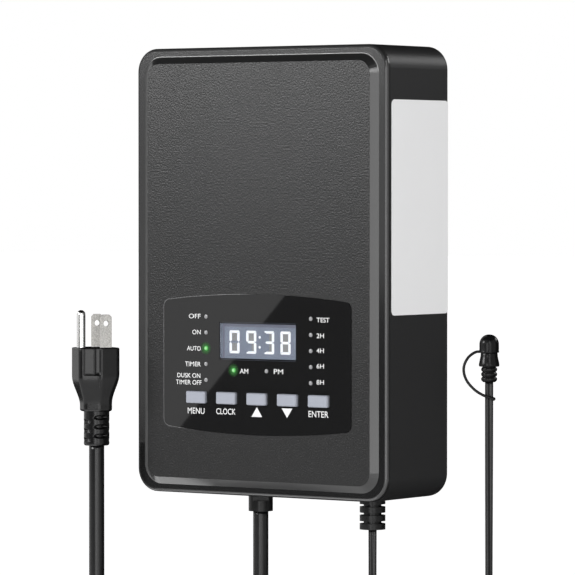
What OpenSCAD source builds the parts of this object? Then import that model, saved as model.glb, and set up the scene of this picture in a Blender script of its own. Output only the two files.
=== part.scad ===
// Low voltage landscape lighting transformer with a digital timer, a mains lead and a light sensor.
// +X is to the right, the front faces -Y, +Z is up. The origin is the hanging keyhole on the back plane.
// Modules are drawn in the box's own frame, with Z = 0 at its underside, and hung() moves them to the origin.

/* [Box] */
// Width of the box
box_w = 164; // [150:1:200]
// Height of the box
box_h = 240; // [236:1:300]
// Depth from the wall to the rim of the front cover
box_d = 60; // [59.5:0.5:80]
// Radius of the four upright corners, seen from the front
corner_r = 12.5; // [10:0.5:16]
// Wall of the rear housing
wall = 2.6; // [2:0.1:3.4]
// Thickness of the rear housing's back
back_wall = 3; // [2.6:0.1:3.6]
// Rounding of the back edges
back_edge_r = 4; // [2:0.5:5]

/* [Front cover] */
// Thickness of the cover's flat rim
rim_t = 2.2; // [2:0.1:3]
// Rounding of the rim's front edge
rim_edge_r = 1.9; // [0.5:0.1:1.9]
// Width of the rim at the sides
rim_side = 5.3; // [4:0.1:7]
// Width of the rim at the top and bottom
rim_end = 4.5; // [4:0.1:7]
// Width of the sloped border of the raised panel
slope_w = 4; // [2:0.5:6]
// Height of the raised panel above the rim
rise = 3; // [2.6:0.1:3.6]
// Outer corner radius of the sloped border
slope_corner_r = 11; // [8:0.5:14]
// Wall behind the raised panel
panel_wall = 2.4; // [2:0.1:2.6]
// Gap between the cover and the housing, which the gasket fills
seam = 0.4; // [0.3:0.1:0.8]
// Depth of the cover's locating lip
lip_depth = 4; // [2:0.5:6]
// Thickness of the locating lip
lip_t = 2; // [1.5:0.1:2.2]

/* [Control panel] */
// Width of the glossy overlay
overlay_w = 122.6; // [118:0.2:126]
// Height of the overlay at its middle
overlay_h = 75.1; // [74:0.1:80]
// Drop of the overlay's bowed edges from the middle to the sides
overlay_bow = 3.7; // [2:0.1:6]
// Corner radius of the overlay
overlay_corner_r = 4; // [2:0.5:6]
// Height of the overlay's middle above the underside
overlay_z = 70.55; // [68:0.05:80]
// Thickness of the overlay
overlay_t = 1; // [0.8:0.1:1.2]
// Depth of the shallow seat that the overlay is glued into
overlay_seat = 0.6; // [0.4:0.1:0.8]
// Offset of the display and buttons to the right
panel_shift = 1; // [0:0.5:2]
// Width of the display window
window_w = 49.8; // [46:0.2:51]
// Height of the display window
window_h = 19.9; // [18:0.1:21]
// Height of the window's middle above the underside
window_z = 82.9; // [82:0.1:84]
// Width of a button
button_w = 12.7; // [11:0.1:13.4]
// Height of a button
button_h = 6.4; // [5:0.1:7]
// Distance between neighbouring buttons
button_pitch = 20; // [19:0.1:20.4]
// Height of the buttons' middle above the underside
button_z = 52.3; // [51:0.1:53.5]
// How far a button stands out of the overlay
button_proud = 1.8; // [1.2:0.1:2.4]
// Travel of a button
button_travel = 0.8; // [0.3:0.1:0.8]
// Diameter of an indicator
led_d = 2.5; // [2:0.1:3]
// Distance between the indicators of a column
led_pitch = 8.5; // [7.5:0.1:8.8]

/* [Rating label] */
// Width of the blank label on the side
label_w = 53.6; // [40:0.1:54]
// Height of the label
label_h = 113; // [60:1:150]
// Height of the label's middle above the underside
label_z = 154.5; // [120:0.5:160]
// Thickness of the label
label_t = 0.25; // [0.1:0.05:0.4]

/* [Transformer] */
// Outer diameter of the toroidal winding
toroid_d = 104; // [96:1:106]
// Diameter of the hole through the winding
toroid_hole_d = 32; // [24:1:40]
// Height of the winding
toroid_h = 40; // [36:1:40]
// Thickness of copper and tape over the core
winding_t = 8; // [6:0.5:9]
// Height of the transformer's middle above the underside
toroid_z = 168; // [166:1:172]
// Shank diameter of the clamping bolt
toroid_bolt_d = 6; // [5:0.5:8]

/* [Terminals] */
// Width of the terminal block
block_w = 44; // [42:1:46]
// Depth of the terminal block, front to back
block_d = 26; // [24:1:30]
// Height of the terminal block above the underside
block_h = 20; // [18:1:22]
// Distance between the two terminals
terminal_pitch = 22; // [20:1:23]
// How far a clamp plate opens
clamp_travel = 3; // [1:0.5:3]

/* [Glands and cords] */
// Diameter of the mains gland below the box
mains_gland_d = 13.2; // [12:0.1:15]
// Length of the mains gland below the box
mains_gland_l = 10.2; // [8:0.1:14]
// Diameter of the mains cord
mains_cord_d = 8.3; // [7:0.1:8.6]
// Diameter of the sensor gland's rings
sensor_gland_d = 13.7; // [12:0.1:15]
// Distance between the rings of the sensor gland
ring_pitch = 4.5; // [4:0.1:4.8]
// Width of the two-core sensor cord
sensor_cord_w = 4.4; // [4:0.1:4.6]
// Thickness of the sensor cord
sensor_cord_t = 2.2; // [1.8:0.1:2.3]

/* [Plug] */
// Width of the plug across its two blades
plug_w = 24; // [23:0.5:28]
// Depth of the plug, from the ground pin's side to the other
plug_depth = 22; // [21:0.5:26]
// Height of the plug's body
plug_h = 34.6; // [30:0.1:40]
// Length of the slotted sleeve below the body
sleeve_l = 18.5; // [16:0.1:24]
// Diameter of the slotted sleeve
sleeve_d = 13.9; // [12:0.1:15]

/* [Light sensor] */
// Diameter of the rubber cap
cap_d = 9.7; // [9:0.1:12]
// Height of the rubber cap
cap_h = 9.4; // [9:0.1:14]
// Height of the flared skirt
skirt_h = 6.6; // [5:0.1:9]
// Lower diameter of the flared skirt
skirt_d = 10.6; // [10:0.1:13]
// Height of the ribbed sleeve under the skirt
ribbed_h = 8.3; // [6:0.1:10]

/* [Hanging] */
// Height of the hanging point above the underside
hook_z = 205; // [190:1:210]
// Width of the keyhole's slot
keyhole_slot_w = 5; // [4.6:0.1:5.4]
// Diameter of the keyhole's entry
keyhole_entry_d = 9.4; // [9:0.1:11]
// Distance from the entry's middle up to the slot's end
keyhole_drop = 9; // [8:0.5:11]

/* [Hidden] */
$fn = 48;

// Overrun of every cut, and the clearances between pieces
cut = 1;
slip = 0.1;
snug = 0.05;
touch = 0.05;
lip_gap = 0.3;
hinge_gap = 0.3;

// Planes of the cover, counted along Y from the wall
rim_y = -box_d;
cover_back_y = rim_y + rim_t;
housing_front_y = cover_back_y + seam;
panel_y = rim_y - rise;
panel_inner_y = panel_y + panel_wall;
overlay_y = panel_y + overlay_seat - overlay_t;
back_inner_y = -back_wall;
mid_y = -box_d / 2;

// Raised panel
slope_base_w = box_w - 2 * rim_side;
slope_base_h = box_h - 2 * rim_end;
hollow_margin = 5;
hollow_r = 6;

// Screws that join the cover to the housing, one near each corner
cover_screw_inset = 11;
cover_screw_x = box_w / 2 - cover_screw_inset;
cover_screw_zs = [cover_screw_inset, box_h - cover_screw_inset];
cover_boss_d = 10;
cover_boss_l = 7;
pillar_d = 8;
cover_screw_d = 3.2;
cover_head_d = 6.6;
cover_head_t = 2.6;
cover_head_recess = 3.4;
cover_thread_l = 13;
cross_share = 0.7;

// Control board and what it carries
board_t = 1.6;
control_board_z = 71;
control_board_gap = 7;
control_board_y = panel_inner_y + control_board_gap;
control_post_x = 55;
control_post_span = 60;
board_margin = 4;
control_board_w = 2 * (control_post_x + board_margin);
control_board_h = control_post_span + 2 * board_margin;
board_post_d = 6.4;
board_screw_d = 2.6;
board_screw_l = 5;
board_head_d = 5;
board_head_t = 1.8;
board_hole_d = 3;
window_fit = 0.1;
window_sink = 0.5;
window_t = 1.2;
module_border_w = 3;
module_border_h = 2;
button_gap = 0.2;
button_flange = 1.15;
button_flange_t = 1;
button_corner_r = 0.8;
button_bevel = 0.5;
button_stem_d = 4;
button_stem_clear = 0.1;
button_xs = [for (i = [-2:2]) panel_shift + i * button_pitch];
switch_w = 6;
switch_body_l = 2.4;
switch_dome_d = 3.4;
led_gap = 0.1;
led_left_x = -33.1;
led_right_x = 35.5;
led_column_z = 78.7;
led_half_day_xs = [-14.8, 6.8];
led_half_day_z = 67.3;
auto_led = 2;
led_spots = [
    for (x = [led_left_x, led_right_x], i = [-2:2]) [x, led_column_z - i * led_pitch],
    for (x = led_half_day_xs) [x, led_half_day_z]
];
led_lit = [auto_led, 10];
chip_w = 14;
chip_t = 2;
chip_x = 30;
crystal_w = 10;
crystal_d = 4;
cell_d = 20;
cell_t = 3.4;
cell_x = -38;

// Transformer and its clamp
platform_h = 4;
platform_d = 40;
pad_t = 1.6;
pad_d = 100;
pad_hole_d = 36;
toroid_edge_r = 8;
toroid_back_y = back_inner_y - platform_h - pad_t;
toroid_front_y = toroid_back_y - toroid_h;
washer_d = 62;
washer_t = 2;
washer_dish = 1.4;
washer_dish_d = 26;
toroid_nut_af = 10;
toroid_nut_t = 5;
toroid_head_d = 12;
toroid_head_t = 4;
toroid_head_recess = 4.4;
toroid_bolt_end = 1.4;

// Power board and what it carries
power_board_z = 68;
power_post_l = 6;
power_post_x = 50;
power_post_span = 66;
power_board_margin = 5;
power_board_w = 2 * (power_post_x + power_board_margin);
power_board_h = power_post_span + 2 * power_board_margin;
power_board_y = back_inner_y - power_post_l;
power_front_y = power_board_y - board_t;
relay_w = 28;
relay_h = 24;
relay_l = 20;
relay_x = -32;
relay_z = 80;
relay_wall = 1.2;
relay_base_t = 1.6;
relay_coil_d = 12;
relay_coil_l = 12;
relay_pole_d = 5;
relay_pole_l = 0.6;
relay_yoke_t = 1.6;
relay_gap = 0.6;
relay_yoke_z = 9.4;
armature_t = 1.2;
armature_w = 14;
armature_l = 17;
fuse_d = 6.3;
fuse_l = 32;
fuse_cap_l = 6;
fuse_x = 26;
fuse_z = 94;
fuse_lift = 2;
clip_t = 0.6;
clip_w = 5;
clip_fit = 0.05;
clip_mouth = 5;
film_w = 26;
film_h = 12;
film_l = 18;
film_x = 26;
film_z = 76;

// Terminal block, set flush in the underside beside the sensor's gland, with two wells that open downwards
sensor_gland_inset = 29.6;
sensor_gland_x = box_w / 2 - sensor_gland_inset;
block_gland_gap = 14.4;
block_x = sensor_gland_x - block_gland_gap - block_w / 2;
block_flange = 2;
block_flange_t = 2;
block_fit = 0.2;
well_w = 13;
well_d = 22;
well_h = 14;
bar_t = 2;
clamp_t = 1.8;
clamp_w = 11;
clamp_d = 14;
clamp_gap = 0.3;
clamp_fit = 0.2;
terminal_screw_d = 5;
terminal_head_d = 9;
terminal_head_t = 4;
terminal_slot_w = 1.2;
terminal_slot_t = 1.6;
terminal_screw_l = 3.6;
terminal_run = 0.05;
bar_z = well_h - bar_t;
clamp_z = bar_z - clamp_gap - clamp_t;
terminal_xs = [block_x - terminal_pitch / 2, block_x + terminal_pitch / 2];

// Glands
mains_gland_gap = 14.8;
mains_gland_x = block_x - block_w / 2 - mains_gland_gap;
gland_neck_d = 11;
gland_fit = 0.1;
gland_nut_d = 16;
gland_nut_t = 3;
gland_notch_w = 9.6;
gland_notch_h = 2.2;
gland_notch_depth = 1.6;
gland_notch_drop = 2.2;
ring_t = 3.1;
ring_neck_d = 9.5;
ring_count = 4;
ring_top_gap = 0.2;

// Hanger on the back
hanger_w = 64;
hanger_h = 40;
hanger_t = 1.6;
hanger_r = 4;
hanger_fit = 0.1;
hanger_low = 6;
hanger_post_d = 3;
hanger_post_inset_x = 6;
hanger_post_inset_z = 8;
hanger_post_x = hanger_w / 2 - hanger_post_inset_x;
hanger_post_z = hanger_h / 2 - hanger_post_inset_z;
pocket_w = 20;
pocket_h = 26;
pocket_depth = 5.4;
pocket_wall = 1.6;
pocket_low = 5;

// Plug, prongs up beside the box, turned about its cord
plug_x = -94;
plug_y = -80.6;
plug_turn = -30;
plug_z = 43.8;
plug_offset = -1.4;
plug_corner = 3;
plug_nose_share = 0.62;
plug_shoulder_share = 0.03;
plug_straight = 18.4;
plug_foot_w = 16.4;
plug_foot_depth = 14.8;
plug_pad_w = 8;
plug_pad_sink = 0.5;
plug_pad_h = 14;
blade_w = 6.35;
blade_t = 1.5;
blade_l = 17.9;
blade_span = 12.7;
blade_row = 2.9;
blade_hole_d = 3.2;
blade_hole_drop = 4.9;
blade_tip = 1.4;
blade_root = 6;
ground_d = 4.76;
ground_root_d = 4;
ground_l = 20.3;
ground_row = -9;
sleeve_slot_h = 1.5;
sleeve_slot_pitch = 5;
sleeve_slot_depth = 3;
sleeve_slot_rows = 3;
sleeve_slot_start = 2.5;

// Light sensor, standing on its cord at the right
sensor_x = 140.2;
sensor_y = -52.5;
sensor_ribbed_z = 65;
cap_lip = 0.15;
cap_lip_h = 0.8;
cap_wall = 1.2;
skirt_neck_d = 7.5;
ribbed_d = 8.2;
ribbed_neck_d = 6.6;
ribbed_count = 3;
cell_disc_d = 5;
cell_disc_t = 2;
tether_d = 1.2;
tether_end_d = 1.8;
view_turn = 35.3;

// Routes of the cords: the straight stretches are points chosen by hand, the coils follow a formula
mains_coil_z = -96;
mains_coil_turns = 5.5;
mains_coil_pitch = 9.2;
sensor_coil_z = -100;
sensor_coil_turns = 4.5;
sensor_coil_pitch = 5;
coil_steps = 24;
coil_sides = 6;
tube_sides = 10;
waist_share = 0.28;
tie_w = 10;
tie_t = 1.4;
tie_room = 1.3;

mains_drop_points = [
    [-20.8, -30, -10.2], [-20.8, -30, -30], [-20.8, -30, -50], [-20.8, -30, -70], [-20.8, -30, -87.7]
];
mains_rise_points = [
    [-94, -80.6, -87.7], [-94, -80.6, -65], [-94, -80.6, -42], [-94, -80.6, -19], [-94, -80.6, 4],
    [-94, -80.6, 25.3]
];
sensor_drop_points = [
    [52.4, -30, -16.8], [52.4, -30, -25], [52.4, -30, -35], [52.4, -30, -45], [52.4, -30, -55],
    [52.4, -30, -65], [52.4, -30, -75], [52.4, -30, -85], [52.4, -30, -95.6]
];
sensor_rise_points = [
    [140.2, -52.5, -95.6], [140.2, -52.5, -75], [140.2, -52.5, -55], [140.2, -52.5, -35], [140.2, -52.5, -15],
    [140.2, -52.5, 5], [140.2, -52.5, 25], [140.2, -52.5, 45], [140.2, -52.5, 65]
];

// Frames and outlines

module hung() {
    translate([0, 0, -hook_z]) children();
}

// Lays a flat shape against the plane Y = y, its middle at height z, with its thickness towards the viewer
module forward_from(y, z) {
    translate([0, y, z]) rotate([90, 0, 0]) children();
}

// The same with its thickness towards the wall
module backward_from(y, z) {
    translate([0, y, z]) rotate([-90, 0, 0]) children();
}

// The four fixing points of each board, with +Z of what is placed there towards the viewer
module at_control_posts(y) {
    for (x = [-1, 1], z = [-1, 1])
        translate([x * control_post_x, y, control_board_z + z * control_post_span / 2])
            rotate([90, 0, 0]) children();
}

module at_power_posts(y) {
    for (x = [-1, 1], z = [-1, 1])
        translate([x * power_post_x, y, power_board_z + z * power_post_span / 2])
            rotate([90, 0, 0]) children();
}

module rounded_rect(w, h, r) {
    square([w - 2 * r, h], center = true);
    square([w, h - 2 * r], center = true);
    for (x = [-1, 1], y = [-1, 1]) translate([x * (w / 2 - r), y * (h / 2 - r)]) circle(r);
}

// A plate with round corners of radius r, whose edge has the profile given as a child
module edged_plate(w, h, r, t) {
    linear_extrude(t) square([w - 2 * r, h - 2 * r], center = true);
    for (x = [-1, 1], y = [-1, 1])
        translate([x * (w / 2 - r), y * (h / 2 - r), 0]) rotate_extrude() children();
    for (a = [0, 180]) {
        rotate([0, 0, a]) translate([w / 2 - r, 0, 0]) rotate([90, 0, 0])
            linear_extrude(h - 2 * r, center = true) children();
        rotate([0, 0, a + 90]) translate([h / 2 - r, 0, 0]) rotate([90, 0, 0])
            linear_extrude(w - 2 * r, center = true) children();
    }
}

module rounded_edge(r, t, edge_r) {
    intersection() {
        square([r, t]);
        union() {
            square([r - edge_r, t]);
            square([r, t - edge_r]);
            translate([r - edge_r, t - edge_r]) circle(edge_r);
        }
    }
}

module sloped_edge(r, t, inset) {
    polygon([[0, 0], [r, 0], [r - inset, t], [0, t]]);
}

// Outline of the overlay: bowed top and bottom, round corners
function bow_radius() = (pow(overlay_w / 2, 2) + pow(overlay_bow, 2)) / (2 * overlay_bow);
function bow_drop(x) = bow_radius() - sqrt(pow(bow_radius(), 2) - x * x);
function overlay_quarter(grow, steps = 8) =
    let (
        w = overlay_w / 2 + grow,
        h = overlay_h / 2 + grow,
        r = overlay_corner_r,
        x0 = w - r,
        z0 = h - bow_drop(x0) - r
    )
    concat(
        [for (i = [0:steps]) let (a = 90 * i / steps) [x0 + r * cos(a), z0 + r * sin(a)]],
        [for (i = [1:steps]) let (x = x0 * (1 - i / steps)) [x, h - bow_drop(x)]]
    );
function reversed(list) = [for (i = [len(list) - 1:-1:0]) list[i]];
function overlay_outline(grow) =
    let (
        q = overlay_quarter(grow),
        top = concat(q, [for (p = reversed(q)) if (p[0] > 0) [-p[0], p[1]]]),
        low = [for (p = reversed(top)) [p[0], -p[1]]]
    )
    concat(top, low);

// Tubes swept along a path. Each ring lies across the path, and ref is kept along its second direction.
function unit(v) = v / norm(v);
function heading(path, i) =
    i == 0 ? unit(path[1] - path[0])
    : i == len(path) - 1 ? unit(path[i] - path[i - 1])
    : unit(unit(path[i + 1] - path[i]) + unit(path[i] - path[i - 1]));
function turned(p, a) = [p[0] * cos(a) - p[1] * sin(a), p[0] * sin(a) + p[1] * cos(a)];
function round_section(d, sides) =
    [for (k = [0:sides - 1]) let (a = 360 * (k + 0.5) / sides) [cos(a), sin(a)] * d / 2];
function flat_section(w, t, sides) =
    [for (k = [0:sides - 1]) let (a = 360 * k / sides) [cos(a) * t / 2, sin(a) * w / 2]];
function twin_section(w, t) =
    let (
        c = (w - t) / 2,
        lobe = [for (a = [-110:55:110]) [c + cos(a) * t / 2, sin(a) * t / 2]]
    )
    concat([[0, -waist_share * t]], lobe, [[0, waist_share * t]], [for (p = lobe) -p]);

module swept(path, section, ref, twist = [0, 0]) {
    n = len(section);
    last = len(path) - 1;
    points = [
        for (i = [0:last])
            let (
                t = heading(path, i),
                s = unit(cross(ref, t)),
                b = cross(t, s),
                a = twist[0] + (twist[1] - twist[0]) * i / last
            )
            for (q = section) let (p = turned(q, a)) path[i] + s * p[0] + b * p[1]
    ];
    sides = [
        for (i = [0:last - 1], k = [0:n - 1])
            let (m = (k + 1) % n)
            each [
                [i * n + k, (i + 1) * n + k, (i + 1) * n + m],
                [i * n + k, (i + 1) * n + m, i * n + m]
            ]
    ];
    ends = [[for (k = [0:n - 1]) k], [for (k = [n - 1:-1:0]) last * n + k]];
    polyhedron(points, concat(sides, ends), convexity = 10);
}

// A coil hanging between two upright stretches: it leaves the first at angle a0 and ends on the second.
// dir is +1 where the angle grows. Both ends run straight for one diameter.
function coil_path(start, x1, z, turns, pitch, lead) =
    let (
        x0 = start[0],
        y0 = start[1],
        r = abs(x1 - x0) / 2,
        cx = (x0 + x1) / 2,
        dir = x1 > x0 ? 1 : -1,
        a0 = x1 > x0 ? 180 : 0,
        steps = round(turns * coil_steps)
    )
    concat(
        [[x0, y0, z + lead]],
        [
            for (i = [0:steps])
                let (a = a0 + dir * 360 * turns * i / steps)
                [cx + r * cos(a), y0 - pitch * turns * i / steps, z + r * sin(a)]
        ],
        [[x1, y0 - pitch * turns, z + lead]]
    );
function least_gap(path, d) =
    min([
        for (i = [0:len(path) - 1], j = [i + coil_steps / 2:1:len(path) - 1])
            norm(path[i] - path[j])
    ]) - d;

mains_coil_path = coil_path(
    mains_drop_points[0], plug_x, mains_coil_z, mains_coil_turns, mains_coil_pitch, mains_cord_d
);
sensor_coil_path = coil_path(
    sensor_drop_points[0], sensor_x, sensor_coil_z, sensor_coil_turns, sensor_coil_pitch, sensor_cord_w
);
echo(mains_coil_least_gap = least_gap(mains_coil_path, mains_cord_d));
echo(sensor_coil_least_gap = least_gap(sensor_coil_path, sensor_cord_w));

// Box

module rear_housing() {
    depth = -housing_front_y;
    color([0.05, 0.05, 0.055]) difference() {
        union() {
            difference() {
                backward_from(housing_front_y, box_h / 2)
                    edged_plate(box_w, box_h, corner_r, depth) rounded_edge(corner_r, depth, back_edge_r);
                forward_from(back_inner_y, box_h / 2)
                    linear_extrude(depth) rounded_rect(box_w - 2 * wall, box_h - 2 * wall, corner_r - wall);
            }
            for (x = [-1, 1], z = cover_screw_zs)
                translate([x * cover_screw_x, back_inner_y, z]) rotate([90, 0, 0])
                    cylinder(d = cover_boss_d, h = cover_boss_l - back_wall);
            forward_from(back_inner_y, toroid_z) cylinder(d = platform_d, h = platform_h);
            at_power_posts(back_inner_y) cylinder(d = board_post_d, h = power_post_l);
            forward_from(back_inner_y, hook_z - keyhole_drop / 2)
                linear_extrude(pocket_depth + pocket_wall - back_wall)
                    square([pocket_w + 2 * pocket_wall, pocket_h + 2 * pocket_wall], center = true);
        }
        for (x = [-1, 1], z = cover_screw_zs) translate([x * cover_screw_x, 0, z]) rotate([90, 0, 0]) {
            translate([0, 0, -cut]) cylinder(d = cover_screw_d + 2 * snug, h = cover_boss_l + 2 * cut);
            translate([0, 0, -cut]) cylinder(d = cover_head_d + 2 * slip, h = cover_head_recess + cut);
        }
        forward_from(cut, toroid_z) {
            cylinder(d = toroid_bolt_d + 2 * snug, h = back_wall + platform_h + 2 * cut);
            cylinder(d = toroid_head_d + 2 * slip, h = toroid_head_recess + cut);
        }
        at_power_posts(power_board_y + power_post_l)
            cylinder(d = board_screw_d + 2 * snug, h = power_post_l + cut);
        hanger_outline_cut();
        translate([-pocket_w / 2, -pocket_depth, hook_z - keyhole_drop / 2 - pocket_h / 2])
            cube([pocket_w, pocket_depth + cut, pocket_h]);
        for (gland = [[mains_gland_x, gland_neck_d], [sensor_gland_x, ring_neck_d]])
            translate([gland[0], mid_y, -cut]) cylinder(d = gland[1] + 2 * gland_fit, h = wall + 2 * cut);
        translate([block_x, mid_y, wall / 2])
            cube([block_w + 2 * block_fit, block_d + 2 * block_fit, wall + 2 * cut], center = true);
    }
}

// The shallow seat of the hanger plate, with the posts that hold the plate left standing in it
module hanger_outline_cut() {
    difference() {
        forward_from(cut, hook_z - hanger_low)
            linear_extrude(hanger_t + cut)
                rounded_rect(hanger_w + 2 * hanger_fit, hanger_h + 2 * hanger_fit, hanger_r);
        for (x = [-1, 1], z = [-1, 1])
            translate([x * hanger_post_x, 0, hook_z - hanger_low + z * hanger_post_z]) rotate([90, 0, 0])
                cylinder(d = hanger_post_d, h = hanger_t + cut);
    }
}

module hanger_plate() {
    color([0.62, 0.63, 0.65]) difference() {
        forward_from(0, hook_z - hanger_low)
            linear_extrude(hanger_t) rounded_rect(hanger_w, hanger_h, hanger_r);
        for (x = [-1, 1], z = [-1, 1])
            translate([x * hanger_post_x, cut, hook_z - hanger_low + z * hanger_post_z]) rotate([90, 0, 0])
                cylinder(d = hanger_post_d + 2 * snug, h = hanger_t + 2 * cut);
        forward_from(cut, hook_z) {
            cylinder(d = keyhole_slot_w, h = hanger_t + 2 * cut);
            translate([-keyhole_slot_w / 2, -keyhole_drop, 0])
                cube([keyhole_slot_w, keyhole_drop, hanger_t + 2 * cut]);
            translate([0, -keyhole_drop, 0]) cylinder(d = keyhole_entry_d, h = hanger_t + 2 * cut);
        }
    }
}

module front_cover() {
    hollow_w = slope_base_w - 2 * hollow_margin;
    hollow_h = slope_base_h - 2 * hollow_margin;
    lip_w = box_w - 2 * wall - 2 * lip_gap;
    lip_h = box_h - 2 * wall - 2 * lip_gap;
    lip_r = corner_r - wall - lip_gap;
    color([0.27, 0.27, 0.275]) difference() {
        union() {
            difference() {
                union() {
                    forward_from(cover_back_y, box_h / 2)
                        edged_plate(box_w, box_h, corner_r, rim_t) rounded_edge(corner_r, rim_t, rim_edge_r);
                    forward_from(rim_y, box_h / 2)
                        edged_plate(slope_base_w, slope_base_h, slope_corner_r, rise)
                            sloped_edge(slope_corner_r, rise, slope_w);
                    backward_from(cover_back_y, box_h / 2) linear_extrude(lip_depth) difference() {
                        rounded_rect(lip_w, lip_h, lip_r);
                        rounded_rect(lip_w - 2 * lip_t, lip_h - 2 * lip_t, lip_r - lip_t);
                    }
                }
                backward_from(panel_inner_y, box_h / 2)
                    linear_extrude(box_d) rounded_rect(hollow_w, hollow_h, hollow_r);
            }
            for (x = [-1, 1], z = cover_screw_zs)
                translate([x * cover_screw_x, -cover_boss_l, z]) rotate([90, 0, 0])
                    cylinder(d = pillar_d, h = box_d - cover_boss_l - rim_t / 2);
            at_control_posts(control_board_y)
                cylinder(d = board_post_d, h = control_board_y - panel_inner_y + panel_wall / 2);
        }
        for (x = [-1, 1], z = cover_screw_zs)
            translate([x * cover_screw_x, -cover_boss_l + cut, z]) rotate([90, 0, 0])
                cylinder(d = cover_screw_d + 2 * snug, h = cover_thread_l + cut);
        at_control_posts(control_board_y + cut)
            cylinder(d = board_screw_d + 2 * snug, h = board_screw_l + cut);
        forward_from(panel_y + overlay_seat, overlay_z)
            linear_extrude(overlay_seat + cut) polygon(overlay_outline(slip));
        panel_openings(panel_inner_y - panel_y + 2 * cut, panel_inner_y + cut, slip);
    }
}

// Openings for the window, the buttons and the indicators, from the plane y forwards
module panel_openings(depth, y, grow) {
    translate([panel_shift, 0, 0]) forward_from(y, window_z)
        linear_extrude(depth) square([window_w + 2 * grow, window_h + 2 * grow], center = true);
    for (x = button_xs) translate([x, 0, 0]) forward_from(y, button_z)
        linear_extrude(depth)
            rounded_rect(button_w + 2 * button_gap, button_h + 2 * button_gap, button_corner_r);
    for (spot = led_spots) translate([spot[0], 0, 0]) forward_from(y, spot[1])
        cylinder(d = led_d + 2 * led_gap, h = depth);
}

module cover_gasket() {
    gasket_edge = 0.6;
    gasket_w = 1.6;
    color([0.02, 0.02, 0.02]) backward_from(cover_back_y, box_h / 2) linear_extrude(seam) difference() {
        rounded_rect(box_w - 2 * gasket_edge, box_h - 2 * gasket_edge, corner_r - gasket_edge);
        rounded_rect(
            box_w - 2 * gasket_edge - 2 * gasket_w,
            box_h - 2 * gasket_edge - 2 * gasket_w,
            corner_r - gasket_edge - gasket_w
        );
    }
}

module pan_screw(head_d, head_t, shank_d, shank_l, slot_w) {
    difference() {
        cylinder(d = head_d, h = head_t);
        translate([0, 0, head_t]) {
            cube([head_d * cross_share, slot_w, head_t], center = true);
            cube([slot_w, head_d * cross_share, head_t], center = true);
        }
    }
    translate([0, 0, -shank_l]) cylinder(d = shank_d, h = shank_l);
}

module cover_screws() {
    slot_w = 1;
    shank_l = cover_boss_l - cover_head_recess + cover_thread_l - cut;
    color([0.45, 0.46, 0.48]) for (x = [-1, 1], z = cover_screw_zs)
        translate([x * cover_screw_x, -cover_head_recess, z]) rotate([-90, 0, 0])
            pan_screw(cover_head_d, cover_head_t, cover_screw_d, shank_l, slot_w);
}

module rating_label() {
    label_r = 2.5;
    label_y = -29.4;
    color([0.72, 0.72, 0.74]) translate([box_w / 2, label_y, label_z]) rotate([90, 0, 90])
        linear_extrude(label_t) rounded_rect(label_w, label_h, label_r);
}

// Control panel

module control_overlay() {
    color([0.03, 0.03, 0.035]) difference() {
        forward_from(panel_y + overlay_seat, overlay_z) linear_extrude(overlay_t) polygon(overlay_outline(0));
        panel_openings(overlay_t + 2 * cut, panel_y + overlay_seat + cut, slip);
    }
}

module display_window() {
    back_y = overlay_y + window_sink + window_t;
    color([0.45, 0.5, 0.58, 0.5]) translate([panel_shift, 0, 0]) forward_from(back_y, window_z)
        linear_extrude(window_t) square([window_w, window_h], center = true);
}

module display_module() {
    glass_y = overlay_y + window_sink + window_t;
    color([0.4, 0.46, 0.55]) translate([panel_shift, 0, 0]) {
        forward_from(control_board_y, window_z)
            linear_extrude(control_board_y - panel_inner_y - window_fit)
                square([window_w + 2 * module_border_w, window_h + 2 * module_border_h], center = true);
        forward_from(panel_inner_y + window_fit + cut, window_z)
            linear_extrude(panel_inner_y + cut - glass_y)
                square([window_w - 2 * window_fit, window_h - 2 * window_fit], center = true);
    }
}

module indicator(spot) {
    tip_y = overlay_y + led_gap;
    translate([spot[0], tip_y + led_d / 2, spot[1]]) {
        sphere(d = led_d);
        rotate([-90, 0, 0]) cylinder(d = led_d, h = control_board_y - tip_y - led_d / 2);
    }
}

module indicator_leds() {
    color([0.75, 0.76, 0.78]) for (i = [0:len(led_spots) - 1])
        if (i != led_lit[0] && i != led_lit[1]) indicator(led_spots[i]);
}

module indicator_leds_lit() {
    color([0.35, 0.9, 0.35]) for (i = led_lit) indicator(led_spots[i]);
}

module button(i) {
    flange_y = panel_inner_y + hinge_gap;
    stem_y = flange_y + button_flange_t;
    cap_l = flange_y - overlay_y + button_proud;
    color([0.76, 0.78, 0.84]) translate([button_xs[i], 0, 0]) {
        forward_from(flange_y, button_z)
            edged_plate(button_w, button_h, button_corner_r, cap_l)
                polygon([
                    [0, 0], [button_corner_r, 0], [button_corner_r, cap_l - button_bevel],
                    [button_corner_r - button_bevel, cap_l], [0, cap_l]
                ]);
        backward_from(flange_y, button_z) {
            linear_extrude(button_flange_t)
                square([button_w + 2 * button_flange, button_h + 2 * button_flange], center = true);
            cylinder(d = button_stem_d, h = switch_top_y() - button_travel - button_stem_clear - flange_y);
        }
    }
}

function switch_top_y() = control_board_y - switch_body_l - hinge_gap;

module tact_switches() {
    color([0.12, 0.12, 0.13]) for (x = button_xs) translate([x, 0, 0]) {
        forward_from(control_board_y, button_z) {
            linear_extrude(switch_body_l) square([switch_w, switch_w], center = true);
            cylinder(d = switch_dome_d, h = switch_body_l + hinge_gap);
        }
    }
}

module control_pcb() {
    color([0.08, 0.32, 0.16]) difference() {
        backward_from(control_board_y, control_board_z)
            linear_extrude(board_t) square([control_board_w, control_board_h], center = true);
        at_control_posts(control_board_y + board_t + cut) cylinder(d = board_hole_d, h = board_t + 2 * cut);
    }
}

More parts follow.
